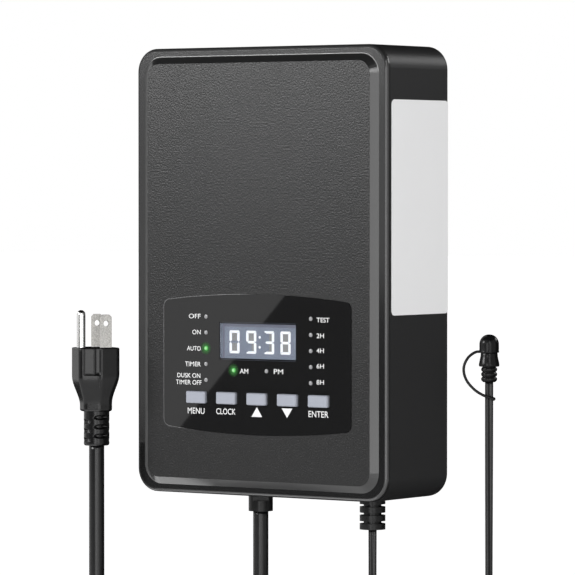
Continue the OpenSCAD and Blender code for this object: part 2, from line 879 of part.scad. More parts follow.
module power_pcb() {
    color([0.08, 0.32, 0.16]) difference() {
        forward_from(power_board_y, power_board_z)
            linear_extrude(board_t) square([power_board_w, power_board_h], center = true);
        at_power_posts(power_board_y + cut) cylinder(d = board_hole_d, h = board_t + 2 * cut);
    }
}

module board_screws() {
    slot_w = 0.8;
    shank_l = board_t + board_screw_l - cut;
    color([0.7, 0.7, 0.72]) {
        at_control_posts(control_board_y + board_t) mirror([0, 0, 1])
            pan_screw(board_head_d, board_head_t, board_screw_d, shank_l, slot_w);
        at_power_posts(power_front_y)
            pan_screw(board_head_d, board_head_t, board_screw_d, shank_l, slot_w);
    }
}

module control_chips() {
    chip_y = control_board_y + board_t;
    color([0.1, 0.1, 0.11]) {
        translate([chip_x, 0, 0]) backward_from(chip_y, control_board_z)
            linear_extrude(chip_t) square([chip_w, chip_w], center = true);
        translate([chip_x, 0, 0]) backward_from(chip_y, control_board_z + chip_w + crystal_d)
            linear_extrude(crystal_d) rounded_rect(crystal_w, crystal_d, crystal_d / 2.5);
        translate([cell_x, 0, 0]) backward_from(chip_y, control_board_z) cylinder(d = cell_d, h = cell_t);
    }
}

// Transformer

module toroid_winding() {
    ring_w = (toroid_d - toroid_hole_d) / 2;
    inset = winding_t - slip;
    color([0.72, 0.5, 0.2]) forward_from(toroid_back_y, toroid_z) rotate_extrude() difference() {
        translate([(toroid_d + toroid_hole_d) / 4, toroid_h / 2])
            rounded_rect(ring_w, toroid_h, toroid_edge_r);
        translate([toroid_hole_d / 2 + inset, inset]) square([ring_w - 2 * inset, toroid_h - 2 * inset]);
    }
}

module toroid_core() {
    color([0.4, 0.4, 0.42]) forward_from(toroid_back_y, toroid_z) rotate_extrude()
        translate([toroid_hole_d / 2 + winding_t, winding_t])
            square([(toroid_d - toroid_hole_d) / 2 - 2 * winding_t, toroid_h - 2 * winding_t]);
}

module toroid_pads() {
    color([0.08, 0.08, 0.08]) for (y = [toroid_back_y + pad_t, toroid_front_y]) forward_from(y, toroid_z)
        difference() {
            cylinder(d = pad_d, h = pad_t);
            translate([0, 0, -cut]) cylinder(d = pad_hole_d, h = pad_t + 2 * cut);
        }
}

module toroid_washer() {
    color([0.7, 0.7, 0.72]) forward_from(toroid_front_y - pad_t, toroid_z) difference() {
        union() {
            cylinder(d = washer_d, h = washer_t);
            cylinder(d = washer_dish_d, h = washer_t + washer_dish);
        }
        translate([0, 0, -cut]) cylinder(d = toroid_bolt_d + 2 * slip, h = washer_t + washer_dish + 2 * cut);
    }
}

module toroid_bolt() {
    head_y = -toroid_head_recess;
    end_y = toroid_front_y - pad_t - washer_t - washer_dish - toroid_nut_t - toroid_bolt_end;
    slot_w = 1.6;
    color([0.66, 0.67, 0.69]) translate([0, head_y, toroid_z]) rotate([-90, 0, 0])
        pan_screw(toroid_head_d, toroid_head_t, toroid_bolt_d, head_y - end_y, slot_w);
}

module toroid_nut() {
    across = toroid_nut_af / cos(30);
    seat_y = toroid_front_y - pad_t - washer_t - washer_dish;
    color([0.7, 0.7, 0.72]) forward_from(seat_y, toroid_z) difference() {
        cylinder(d = across, h = toroid_nut_t, $fn = 6);
        translate([0, 0, -cut]) cylinder(d = toroid_bolt_d + 2 * snug, h = toroid_nut_t + 2 * cut);
    }
}

// Power board parts

module at_relay(y) {
    translate([relay_x, y, relay_z]) rotate([90, 0, 0]) children();
}

module relay_cover() {
    color([0.3, 0.45, 0.62, 0.6]) at_relay(power_front_y) difference() {
        linear_extrude(relay_l) square([relay_w, relay_h], center = true);
        translate([0, 0, -cut]) linear_extrude(relay_l + cut - relay_wall)
            square([relay_w - 2 * relay_wall, relay_h - 2 * relay_wall], center = true);
    }
}

module relay_base() {
    inner_w = relay_w - 2 * relay_wall - 2 * slip;
    inner_h = relay_h - 2 * relay_wall - 2 * slip;
    pole_l = relay_base_t + relay_coil_l + relay_pole_l;
    color([0.75, 0.45, 0.2]) at_relay(power_front_y) {
        linear_extrude(relay_base_t) square([inner_w, inner_h], center = true);
        cylinder(d = relay_coil_d, h = relay_base_t + relay_coil_l);
        cylinder(d = relay_pole_d, h = pole_l);
        translate([-armature_w / 2, relay_yoke_z - relay_yoke_t, 0])
            cube([armature_w, relay_yoke_t, relay_base_t + relay_coil_l]);
    }
}

module relay_armature() {
    face = relay_base_t + relay_coil_l + relay_pole_l + relay_gap;
    color([0.6, 0.6, 0.62]) at_relay(power_front_y)
        translate([-armature_w / 2, relay_yoke_z - armature_l, face])
            cube([armature_w, armature_l, armature_t]);
}

module at_fuse() {
    translate([fuse_x, power_front_y - fuse_lift - fuse_d / 2, fuse_z]) rotate([0, 90, 0]) children();
}

module fuse_tube() {
    color([0.8, 0.82, 0.84]) at_fuse() {
        cylinder(d = fuse_d - 2 * clip_t / 3, h = fuse_l, center = true);
        for (z = [-1, 1]) translate([0, 0, z * (fuse_l - fuse_cap_l) / 2])
            cylinder(d = fuse_d, h = fuse_cap_l, center = true);
    }
}

module fuse_clips() {
    inner_d = fuse_d + 2 * clip_fit;
    outer_d = inner_d + 2 * clip_t;
    color([0.78, 0.7, 0.4]) for (side = [-1, 1]) at_fuse()
        translate([0, 0, side * (fuse_l - fuse_cap_l) / 2]) difference() {
            union() {
                cylinder(d = outer_d, h = clip_w, center = true);
                translate([-outer_d / 4, 0, -clip_w / 2]) cube([outer_d / 2, fuse_d / 2 + fuse_lift, clip_w]);
            }
            cylinder(d = inner_d, h = clip_w + 2 * cut, center = true);
            translate([-clip_mouth / 2, -outer_d, -clip_w]) cube([clip_mouth, outer_d, 2 * clip_w]);
        }
}

module filter_capacitor() {
    color([0.85, 0.7, 0.15]) translate([film_x, 0, 0]) forward_from(power_front_y, film_z)
        linear_extrude(film_l) square([film_w, film_h], center = true);
}

// Terminals

module terminal_block() {
    color([0.09, 0.09, 0.1]) difference() {
        union() {
            translate([block_x - block_w / 2, mid_y - block_d / 2, 0]) cube([block_w, block_d, block_h]);
            translate([block_x - block_w / 2 - block_flange, mid_y - block_d / 2 - block_flange, wall])
                cube([block_w + 2 * block_flange, block_d + 2 * block_flange, block_flange_t]);
        }
        for (x = terminal_xs) translate([x, mid_y, 0]) {
            translate([-well_w / 2, -well_d / 2, -cut]) cube([well_w, well_d, well_h + cut]);
            translate([0, 0, well_h - cut])
                cylinder(d = terminal_screw_d + 2 * slip, h = block_h - well_h + 2 * cut);
        }
    }
}

module terminal_bars() {
    color([0.8, 0.66, 0.32]) for (x = terminal_xs) translate([x, mid_y, bar_z]) difference() {
        translate([-well_w / 2, -well_d / 2, 0]) cube([well_w, well_d, bar_t]);
        translate([0, 0, -cut]) cylinder(d = terminal_screw_d + 2 * terminal_run, h = bar_t + 2 * cut);
    }
}

module terminal_clamp(i) {
    color([0.7, 0.7, 0.72]) translate([terminal_xs[i], mid_y, clamp_z]) difference() {
        translate([-clamp_w / 2, -clamp_d / 2, 0]) cube([clamp_w, clamp_d, clamp_t]);
        translate([0, 0, -cut]) cylinder(d = terminal_screw_d + 2 * clamp_fit, h = clamp_t + 2 * cut);
    }
}

module terminal_screw(i) {
    head_top = clamp_z - terminal_run;
    color([0.74, 0.74, 0.76]) translate([terminal_xs[i], mid_y, head_top]) {
        cylinder(d = terminal_screw_d, h = bar_z + bar_t - head_top + terminal_screw_l);
        translate([0, 0, -terminal_head_t]) difference() {
            cylinder(d = terminal_head_d, h = terminal_head_t);
            translate([-terminal_head_d, -terminal_slot_w / 2, -cut])
                cube([2 * terminal_head_d, terminal_slot_w, terminal_slot_t + cut]);
        }
    }
}

// Leads inside the box

module lead(points, d) {
    swept(points, round_section(d, 8), [1, 0, 0]);
}

module secondary_leads() {
    lead_d = 4;
    start_z = toroid_z - toroid_d / 2;
    end_y = mid_y - terminal_head_d / 2 - lead_d / 2;
    bulge = 2 * lead_d;
    color([0.75, 0.12, 0.1]) for (x = terminal_xs) {
        drop = toroid_d / 2 - sqrt(pow(toroid_d / 2, 2) - pow(abs(x) - lead_d / 2, 2));
        lead([
            [x, mid_y, start_z + drop - touch],
            [x, mid_y, start_z - lead_d],
            [x, mid_y - bulge * 0.6, start_z - 3 * lead_d],
            [x, mid_y - bulge, power_board_z],
            [x, end_y - lead_d / 4, block_h + 4 * lead_d],
            [x, end_y, block_h + lead_d],
            [x, end_y, block_h]
        ], lead_d);
    }
}

module internal_leads() {
    lead_d = 2.4;
    pad_z = power_board_z + power_board_h / 2 - lead_d;
    low_pad_z = power_board_z - power_board_h / 2 + lead_d;
    start_z = toroid_z - toroid_d / 2;
    spread = 4.5;
    color([0.1, 0.1, 0.12]) for (x = [-spread, spread]) {
        primary_x = relay_x / 2 + x;
        drop = toroid_d / 2 - sqrt(pow(toroid_d / 2, 2) - pow(abs(primary_x) - lead_d / 2, 2));
        lead([
            [primary_x, mid_y / 2 - lead_d, start_z + drop - touch],
            [primary_x, mid_y / 2 - lead_d, start_z - lead_d],
            [primary_x, mid_y / 2 - lead_d, pad_z + lead_d],
            [primary_x, power_front_y - 2 * lead_d, pad_z],
            [primary_x, power_front_y, pad_z]
        ], lead_d);
    }
    // the sensor's pair steps aside from the board's screw
    sidesteps = [[mains_gland_x, 0], [sensor_gland_x, 5 * lead_d]];
    color([0.1, 0.1, 0.12]) for (gland = sidesteps, side = [-spread, spread]) {
        x = gland[0] + side;
        pad_x = x - gland[1];
        lead([
            [x, mid_y, wall + gland_nut_t],
            [x, mid_y, wall + gland_nut_t + 2 * lead_d],
            [pad_x, (mid_y + power_front_y) / 2, low_pad_z - lead_d],
            [pad_x, power_front_y - 2 * lead_d, low_pad_z],
            [pad_x, power_front_y, low_pad_z]
        ], lead_d);
    }
}

module ribbon_cable() {
    ribbon_w = 14;
    ribbon_t = 1;
    ribbon_x = block_x - block_w / 2;
    header_w = 17;
    header_h = 6;
    header_l = 5;
    control_z = control_board_z - control_board_h / 2 + header_h;
    power_z = power_board_z - power_board_h / 2 + 2 * header_h;
    front_y = control_board_y + board_t + header_l;
    rear_y = power_front_y - header_l;
    slack_z = control_z - 2 * header_h;
    color([0.6, 0.6, 0.62]) translate([ribbon_x, 0, 0]) {
        backward_from(control_board_y + board_t, control_z)
            linear_extrude(header_l) square([header_w, header_h], center = true);
        forward_from(power_front_y, power_z)
            linear_extrude(header_l) square([header_w, header_h], center = true);
        translate([-ribbon_w / 2, 0, 0]) rotate([90, 0, 90]) linear_extrude(ribbon_w) polygon([
            [front_y, control_z], [front_y + ribbon_t, control_z],
            [front_y + ribbon_t, slack_z + ribbon_t], [rear_y - ribbon_t, slack_z + ribbon_t],
            [rear_y - ribbon_t, power_z], [rear_y, power_z],
            [rear_y, slack_z], [front_y, slack_z]
        ]);
    }
}

// Glands

module mains_gland() {
    color([0.05, 0.05, 0.05]) translate([mains_gland_x, mid_y, 0]) difference() {
        union() {
            translate([0, 0, -mains_gland_l]) cylinder(d = mains_gland_d, h = mains_gland_l);
            cylinder(d = gland_neck_d, h = wall + gland_nut_t);
            translate([0, 0, wall]) cylinder(d = gland_nut_d, h = gland_nut_t);
        }
        for (a = [view_turn, view_turn + 180]) rotate([0, 0, a])
            translate([-gland_notch_w / 2, -mains_gland_d / 2 - cut, -gland_notch_drop - gland_notch_h])
                cube([gland_notch_w, gland_notch_depth + cut, gland_notch_h]);
    }
}

module sensor_gland() {
    ring_z = ring_top_gap + ring_t;
    neck_l = ring_z + (ring_count - 1) * ring_pitch;
    color([0.05, 0.05, 0.05]) translate([sensor_gland_x, mid_y, 0]) {
        translate([0, 0, -neck_l]) cylinder(d = ring_neck_d, h = neck_l + wall + gland_nut_t);
        translate([0, 0, wall]) cylinder(d = gland_nut_d, h = gland_nut_t);
        for (i = [0:ring_count - 1])
            translate([0, 0, -ring_z - i * ring_pitch]) cylinder(d = sensor_gland_d, h = ring_t);
    }
}

// Plug

module at_plug() {
    translate([plug_x, plug_y, plug_z]) rotate([0, 0, plug_turn]) children();
}

// The body's outline seen along the prongs: narrow at the ground pin's side, full width at the blades'
function plug_corners(w, d) = [
    [plug_nose_share * w / 2 - plug_corner, plug_corner - d / 2],
    [w / 2 - plug_corner, plug_shoulder_share * d],
    [w / 2 - plug_corner, d / 2 - plug_corner]
];

module plug_slice(w, d, h, z) {
    translate([0, plug_offset * d / plug_depth, z]) linear_extrude(h) hull()
        for (side = [-1, 1], p = plug_corners(w, d)) translate([side * p[0], p[1]]) circle(plug_corner);
}

// The middle of a slanted flank, with +X out of it
module at_plug_flank() {
    corners = plug_corners(plug_w, plug_depth);
    run = corners[1] - corners[0];
    middle = (corners[0] + corners[1]) / 2;
    translate([middle[0], middle[1] + plug_offset, 0]) rotate([0, 0, atan2(-run[0], run[1])])
        translate([plug_corner, 0, 0]) children();
}

module plug_body() {
    slice = 0.1;
    color([0.06, 0.06, 0.065]) at_plug() difference() {
        union() {
            plug_slice(plug_w, plug_depth, plug_straight, plug_h - plug_straight);
            hull() {
                plug_slice(plug_w, plug_depth, slice, plug_h - plug_straight);
                plug_slice(plug_foot_w, plug_foot_depth, slice, 0);
            }
            translate([0, 0, -sleeve_l]) cylinder(d = sleeve_d, h = sleeve_l);
        }
        for (side = [0, 1]) mirror([side, 0, 0]) at_plug_flank()
            translate([-plug_pad_sink, -plug_pad_w / 2, plug_h - plug_pad_h])
                cube([2 * plug_pad_sink, plug_pad_w, plug_pad_h + cut]);
        for (i = [0:sleeve_slot_rows - 1], a = [0, 90, 180, 270])
            rotate([0, 0, a]) translate([
                -sleeve_d / 4,
                sleeve_d / 2 - sleeve_slot_depth,
                -sleeve_slot_start - sleeve_slot_pitch * (i + (a % 180) / 180)
            ]) cube([sleeve_d / 2, sleeve_slot_depth + cut, sleeve_slot_h]);
        for (x = [-1, 1])
            translate([x * blade_span / 2, blade_row, plug_h - blade_root / 2])
                cube([blade_t + 2 * snug, blade_w + 2 * snug, blade_root + 2 * cut], center = true);
        translate([0, ground_row, plug_h - blade_root])
            cylinder(d = ground_root_d + 2 * snug, h = blade_root + cut);
    }
}

module plug_blades() {
    root = blade_root - cut;
    color([0.75, 0.75, 0.74]) at_plug() for (x = [-1, 1])
        translate([x * blade_span / 2, blade_row, plug_h]) difference() {
        rotate([90, 0, 90]) linear_extrude(blade_t, center = true) polygon([
            [-blade_w / 2, -root], [blade_w / 2, -root],
            [blade_w / 2, blade_l - blade_tip], [blade_w / 2 - blade_tip, blade_l],
            [-blade_w / 2 + blade_tip, blade_l], [-blade_w / 2, blade_l - blade_tip]
        ]);
        translate([0, 0, blade_l - blade_hole_drop]) rotate([0, 90, 0])
            cylinder(d = blade_hole_d, h = blade_t + 2 * cut, center = true);
    }
}

module plug_ground_pin() {
    straight = ground_l - ground_d / 2;
    color([0.85, 0.85, 0.86]) at_plug() translate([0, ground_row, plug_h]) {
        translate([0, 0, -blade_root]) cylinder(d = ground_root_d, h = blade_root + cut);
        cylinder(d = ground_d, h = straight);
        translate([0, 0, straight]) sphere(d = ground_d);
    }
}

// Light sensor

module at_sensor(z) {
    translate([sensor_x, sensor_y, sensor_ribbed_z + z]) children();
}

module sensor_cap() {
    base_z = ribbed_h + skirt_h;
    inner_d = cap_d - 2 * cap_wall;
    color([0.05, 0.05, 0.055]) at_sensor(base_z) difference() {
        union() {
            cylinder(d = cap_d, h = cap_h - cap_d / 2);
            translate([0, 0, cap_h - cap_d / 2]) sphere(d = cap_d);
            cylinder(d = cap_d + 2 * cap_lip, h = cap_lip_h);
        }
        translate([0, 0, -cap_d]) cylinder(d = 2 * cap_d, h = cap_d);
        translate([0, 0, -cut]) cylinder(d = inner_d, h = cap_h - cap_d / 2 + cut);
        translate([0, 0, cap_h - cap_d / 2]) sphere(d = inner_d);
    }
}

module sensor_base() {
    gap_d = ribbed_d - ribbed_neck_d;
    rib_pitch = ribbed_h / ribbed_count;
    color([0.05, 0.05, 0.055]) at_sensor(0) {
        rotate_extrude() {
            square([ribbed_neck_d / 2, ribbed_h]);
            for (i = [0:ribbed_count - 1]) translate([ribbed_neck_d / 2, (i + 0.5) * rib_pitch])
                circle(d = gap_d);
            polygon([
                [0, ribbed_h], [skirt_d / 2, ribbed_h], [skirt_d / 2, ribbed_h + cap_lip_h],
                [skirt_neck_d / 2, ribbed_h + skirt_h], [0, ribbed_h + skirt_h]
            ]);
        }
    }
}

module light_sensor() {
    color([0.8, 0.55, 0.3]) at_sensor(ribbed_h + skirt_h) cylinder(d = cell_disc_d, h = cell_disc_t);
}

// The strap runs from the cap round to the front of the cord, in the plane that faces the viewer
module sensor_tether() {
    across = [cos(view_turn), sin(view_turn), 0];
    toward = [sin(view_turn), -cos(view_turn), 0];
    spots = [
        [-5.2, 0, 80.4], [-7.4, 0, 80], [-10.6, 0, 77.6], [-12.8, 0.2, 73.6], [-13, 0.6, 69.4],
        [-11.4, 1.2, 65.2], [-8.2, 2, 61.4], [-4.6, 2.8, 58.8], [-1, 3.3, 57.2], [2.2, 3.2, 56.2]
    ];
    path = [for (s = spots) [sensor_x, sensor_y, s[2]] + across * s[0] + toward * s[1]];
    color([0.03, 0.03, 0.03]) {
        swept(path, round_section(tether_d, 8), toward);
        translate(path[len(path) - 1]) sphere(d = tether_end_d);
    }
}

// Cords

module mains_cord_drop() {
    color([0.05, 0.05, 0.05]) swept(mains_drop_points, round_section(mains_cord_d, tube_sides), [0, 1, 0]);
}

module mains_cord_rise() {
    color([0.05, 0.05, 0.05]) swept(mains_rise_points, round_section(mains_cord_d, tube_sides), [0, 1, 0]);
}

module mains_cord_coil() {
    color([0.05, 0.05, 0.05]) swept(mains_coil_path, round_section(mains_cord_d, coil_sides), [0, 1, 0]);
}

module sensor_cord_drop() {
    color([0.05, 0.05, 0.05])
        swept(sensor_drop_points, twin_section(sensor_cord_w, sensor_cord_t), [0, 1, 0], [-view_turn, -90]);
}

module sensor_cord_rise() {
    rise_twist = [90, view_turn + 40];
    color([0.05, 0.05, 0.05])
        swept(sensor_rise_points, twin_section(sensor_cord_w, sensor_cord_t), [0, 1, 0], rise_twist);
}

module sensor_cord_coil() {
    color([0.05, 0.05, 0.05])
        swept(sensor_coil_path, flat_section(sensor_cord_w, sensor_cord_t, coil_sides), [0, 1, 0]);
}

// A strap round all the loops at the bottom of a coil
module coil_tie(x, y, z, span, thick) {
    corner = thick / 4;
    color([0.1, 0.1, 0.1]) translate([x, y, z]) rotate([90, 0, 90])
        linear_extrude(tie_w, center = true) difference() {
            rounded_rect(span + 2 * tie_t, thick + 2 * tie_t, tie_t + corner);
            rounded_rect(span, thick, corner);
        }
}

module mains_cord_tie() {
    crossings = floor(mains_coil_turns);
    start = mains_drop_points[0];
    r = (start[0] - plug_x) / 2;
    coil_tie(
        (start[0] + plug_x) / 2,
        start[1] - mains_coil_pitch * (crossings + 0.5) / 2,
        mains_coil_z - r,
        mains_coil_pitch * crossings + mains_cord_d + tie_room,
        mains_cord_d + tie_room
    );
}

module sensor_cord_tie() {
    crossings = floor(sensor_coil_turns);
    start = sensor_drop_points[0];
    r = (sensor_x - start[0]) / 2;
    coil_tie(
        (start[0] + sensor_x) / 2,
        start[1] - sensor_coil_pitch * (crossings + 0.5) / 2,
        sensor_coil_z - r,
        sensor_coil_pitch * crossings + sensor_cord_w + tie_room,
        sensor_cord_t + tie_room
    );
}

hung() rear_housing();
hung() front_cover();
hung() cover_gasket();
hung() cover_screws();
hung() control_overlay();
hung() display_window();
hung() display_module();
hung() indicator_leds();
hung() indicator_leds_lit();
hung() button(0);  // button_menu
hung() button(1);  // button_clock
hung() button(2);  // button_up
hung() button(3);  // button_down
hung() button(4);  // button_enter
hung() tact_switches();
hung() control_pcb();
hung() board_screws();
hung() control_chips();
hung() toroid_core();
hung() toroid_winding();
hung() toroid_pads();
hung() toroid_washer();
hung() toroid_bolt();
hung() toroid_nut();
hung() power_pcb();
hung() relay_base();
hung() relay_armature();
hung() relay_cover();
hung() fuse_clips();
hung() fuse_tube();
hung() filter_capacitor();
hung() terminal_block();
hung() terminal_bars();
hung() terminal_clamp(0);  // terminal_clamp_a
hung() terminal_clamp(1);  // terminal_clamp_b
hung() terminal_screw(0);  // terminal_screw_a
hung() terminal_screw(1);  // terminal_screw_b
hung() ribbon_cable();
hung() internal_leads();
hung() secondary_leads();
hung() mains_gland();
hung() sensor_gland();
hung() hanger_plate();
hung() rating_label();
hung() plug_body();
hung() plug_blades();
hung() plug_ground_pin();
hung() mains_cord_drop();
hung() mains_cord_coil();
hung() mains_cord_rise();
hung() mains_cord_tie();
hung() sensor_cap();
hung() sensor_base();
hung() light_sensor();
hung() sensor_tether();
hung() sensor_cord_drop();
hung() sensor_cord_coil();
hung() sensor_cord_rise();
hung() sensor_cord_tie();
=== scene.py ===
"""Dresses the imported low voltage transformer: finishes, panel print, display, plug, sensor and cords."""

import math

import bpy
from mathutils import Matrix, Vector


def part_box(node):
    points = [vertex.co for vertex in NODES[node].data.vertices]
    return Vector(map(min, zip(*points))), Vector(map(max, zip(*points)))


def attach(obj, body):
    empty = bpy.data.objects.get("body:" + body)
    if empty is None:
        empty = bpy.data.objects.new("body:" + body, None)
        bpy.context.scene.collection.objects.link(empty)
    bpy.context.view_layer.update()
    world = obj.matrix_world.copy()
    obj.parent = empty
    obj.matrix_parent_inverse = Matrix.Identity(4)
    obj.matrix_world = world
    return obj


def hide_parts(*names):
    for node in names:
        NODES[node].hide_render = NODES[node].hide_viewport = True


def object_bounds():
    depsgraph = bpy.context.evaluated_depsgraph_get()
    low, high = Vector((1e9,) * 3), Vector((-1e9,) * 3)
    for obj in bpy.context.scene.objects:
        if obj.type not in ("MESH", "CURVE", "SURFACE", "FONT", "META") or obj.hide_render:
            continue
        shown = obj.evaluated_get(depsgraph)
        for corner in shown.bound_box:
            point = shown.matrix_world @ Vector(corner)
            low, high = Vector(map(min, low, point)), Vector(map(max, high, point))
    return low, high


bl_info = {
    "name": "Low voltage transformer",
    "version": (1, 0, 0),
    "blender": (4, 5, 0),
    "location": "View3D > Sidebar > Transformer",
    "description": "Finishes and fine pieces of a wall-hung low voltage transformer",
    "category": "Object",
}

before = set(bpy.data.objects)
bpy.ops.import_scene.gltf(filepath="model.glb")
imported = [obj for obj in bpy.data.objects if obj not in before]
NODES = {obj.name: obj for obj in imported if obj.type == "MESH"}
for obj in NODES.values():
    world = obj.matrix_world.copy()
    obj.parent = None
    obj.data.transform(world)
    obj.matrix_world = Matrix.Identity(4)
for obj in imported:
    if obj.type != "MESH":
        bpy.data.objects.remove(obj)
CAD_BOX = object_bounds()

MM = 0.001
# The frame's origin is the hanging keyhole, and lengths below are counted from the box's underside
HOOK = 205.0
# How far to the right the camera stands, in degrees. The sensor's strap faces it
VIEW_TURN = 35.3
# Where the cords leave their glands, and where the plug and the sensor stand, as (x, y)
MAINS_EXIT, PLUG_PLACE = (-20.8, -30), (-94.0, -80.6)
SENSOR_EXIT, SENSOR_PLACE = (52.4, -30), (140.2, -52.5)

ZINC_PARTS = ("cover_screws", "board_screws", "toroid_washer", "toroid_bolt", "toroid_nut", "hanger_plate")
BUTTONS = ("button_menu", "button_clock", "button_up", "button_down", "button_enter")


def at(x, y, z):
    """A point given in millimetres, z from the box's underside, in the frame's metres."""
    return Vector((x, y, z - HOOK)) * MM


def colour_prop(name, description, default):
    return bpy.props.FloatVectorProperty(
        name=name, description=description, subtype="COLOR", size=3, min=0, max=1, default=default
    )


def length_prop(name, description, default):
    return bpy.props.FloatProperty(
        name=name, description=description, unit="LENGTH", subtype="DISTANCE", min=0, default=default
    )


def power_prop(name, description, default):
    return bpy.props.FloatProperty(name=name, description=description, min=0, default=default)


class BoxSettings(bpy.types.PropertyGroup):
    cover: colour_prop("Cover", "Colour of the textured front cover", (0.0095, 0.0095, 0.0097))
    housing: colour_prop("Housing", "Colour of the smooth rear housing", (0.022, 0.022, 0.0224))
    edge: colour_prop("Edges", "Colour of the painted highlight line on the cover", (0.24, 0.24, 0.24))
    label: colour_prop("Label", "Colour of the blank label on the side", (0.88, 0.88, 0.885))
    grain: length_prop("Grain", "Spacing of the cover's moulded texture", 0.0009)


class PanelSettings(bpy.types.PropertyGroup):
    overlay: colour_prop("Overlay", "Colour of the glossy overlay", (0.0088, 0.0088, 0.009))
    screen: colour_prop("Screen", "Colour of the lit screen", (0.121, 0.139, 0.175))
    digits: colour_prop("Digits", "Colour of the shown digits", (0.93, 0.95, 0.98))
    lamp: colour_prop("Lamp", "Colour of a lit indicator's lens", (0.06, 0.60, 0.07))
    buttons: colour_prop("Buttons", "Colour of the five buttons", (0.258, 0.272, 0.313))


class CordSettings(bpy.types.PropertyGroup):
    jacket: colour_prop("Jacket", "Colour of both cords", (0.0045, 0.0045, 0.0047))
    mains_width: length_prop("Mains cord", "Diameter of the mains cord", 0.0083)
    sensor_width: length_prop("Sensor cord", "Width of the two-core sensor cord", 0.0044)
    sensor_thickness: length_prop("Sensor cord, thin way", "Thickness of the sensor cord", 0.0022)


class StageSettings(bpy.types.PropertyGroup):
    fill: bpy.props.FloatProperty(
        name="Fill", description="Strength of the even light from all round", min=0, default=0.25
    )
    key: power_prop("Key", "Power of the lamp at the left, in watts", 8.6)
    side: power_prop("Side", "Power of the wide lamp at the right, in watts", 3.2)
    strip: power_prop("Strip", "Power of the lamp in front, in watts", 3.0)
    flare: power_prop("Flare", "Power of the lamp high at the right, in watts", 2.0)
    back: power_prop("Back", "Power of the lamp behind the right side, in watts", 3.8)
    low: power_prop("Low", "Power of the small lamp below the left, in watts", 0.26)


# Materials


def value_group(name, inputs, outputs):
    """A new shader node group with these sockets, and its input and output nodes."""
    group = bpy.data.node_groups.new(name, "ShaderNodeTree")
    for label, kind, default in inputs:
        socket = group.interface.new_socket(name=label, in_out="INPUT", socket_type=kind)
        socket.default_value = default
    for label, kind in outputs:
        group.interface.new_socket(name=label, in_out="OUTPUT", socket_type=kind)
    return group, group.nodes.new("NodeGroupInput"), group.nodes.new("NodeGroupOutput")


def fill(node, values):
    """Sets these sockets of a node. Their names may have underscores for spaces."""
    for socket, value in values.items():
        node.inputs[socket.replace("_", " ")].default_value = value


def added(nodes, kind, **values):
    """A new node with these values in its sockets."""
    node = nodes.new(kind)
    fill(node, values)
    return node


def maths(nodes, links, operation, a, b):
    """A Math node whose two inputs are sockets or numbers, and its output."""
    node = nodes.new("ShaderNodeMath")
    node.operation = operation
    for socket, value in zip(node.inputs, (a, b)):
        if isinstance(value, (int, float)):
            socket.default_value = value
        else:
            links.new(value, socket)
    return node.outputs["Value"]


def mottle_group():
    """Slow variation of a colour and a roughness over the surface, as from handling and moulding."""
    group, given, out = value_group(
        "Mottle",
        [
            ("Colour", "NodeSocketColor", (0.5, 0.5, 0.5, 1)),
            ("Roughness", "NodeSocketFloat", 0.5),
            ("Spots per metre", "NodeSocketFloat", 60.0),
            ("Amount", "NodeSocketFloat", 0.1),
            ("Speckle", "NodeSocketFloat", 0.0),
        ],
        [("Colour", "NodeSocketColor"), ("Roughness", "NodeSocketFloat")],
    )
    nodes, links = group.nodes, group.links
    place = nodes.new("ShaderNodeTexCoord").outputs["Object"]
    slow = added(nodes, "ShaderNodeTexNoise", Detail=3)
    links.new(place, slow.inputs["Vector"])
    links.new(given.outputs["Spots per metre"], slow.inputs["Scale"])
    fine = added(nodes, "ShaderNodeTexNoise", Scale=1400, Detail=1)
    links.new(place, fine.inputs["Vector"])
    swing = maths(nodes, links, "SUBTRACT", slow.outputs["Fac"], 0.5)
    swing = maths(nodes, links, "MULTIPLY", swing, given.outputs["Amount"])
    grit = maths(nodes, links, "SUBTRACT", fine.outputs["Fac"], 0.5)
    grit = maths(nodes, links, "MULTIPLY", grit, given.outputs["Speckle"])
    both = maths(nodes, links, "ADD", swing, grit)
    factor = maths(nodes, links, "ADD", both, 1.0)
    scaled = nodes.new("ShaderNodeVectorMath")
    scaled.operation = "SCALE"
    links.new(given.outputs["Colour"], scaled.inputs[0])
    links.new(factor, scaled.inputs["Scale"])
    links.new(scaled.outputs["Vector"], out.inputs["Colour"])
    rough = maths(nodes, links, "ADD", given.outputs["Roughness"], swing)
    links.new(rough, out.inputs["Roughness"])
    return group


def grain_group():
    """Height of a fine moulded texture, one bump per grain spacing."""
    group, given, out = value_group(
        "Moulded grain",
        [("Grains per metre", "NodeSocketFloat", 1100.0), ("Depth", "NodeSocketFloat", 1.0)],
        [("Height", "NodeSocketFloat")],
    )
    nodes, links = group.nodes, group.links
    place = nodes.new("ShaderNodeTexCoord").outputs["Object"]
    pits = added(nodes, "ShaderNodeTexNoise", Detail=2)
    links.new(place, pits.inputs["Vector"])
    links.new(given.outputs["Grains per metre"], pits.inputs["Scale"])
    height = maths(nodes, links, "MULTIPLY", pits.outputs["Fac"], given.outputs["Depth"])
    links.new(height, out.inputs["Height"])
    return group


GROUPS = {}


def blend(nodes, links, share, first, second):
    """The first value where share is 0, the second where it is 1."""
    rest = maths(nodes, links, "MULTIPLY", maths(nodes, links, "SUBTRACT", 1.0, share), first)
    return maths(nodes, links, "ADD", rest, maths(nodes, links, "MULTIPLY", share, second))


def new_material(name, **values):
    """A new material and its Principled shader, with these values in the shader's sockets."""
    material = bpy.data.materials.new(name)
    material.use_nodes = True
    shader = material.node_tree.nodes["Principled BSDF"]
    fill(shader, values)
    return material, shader


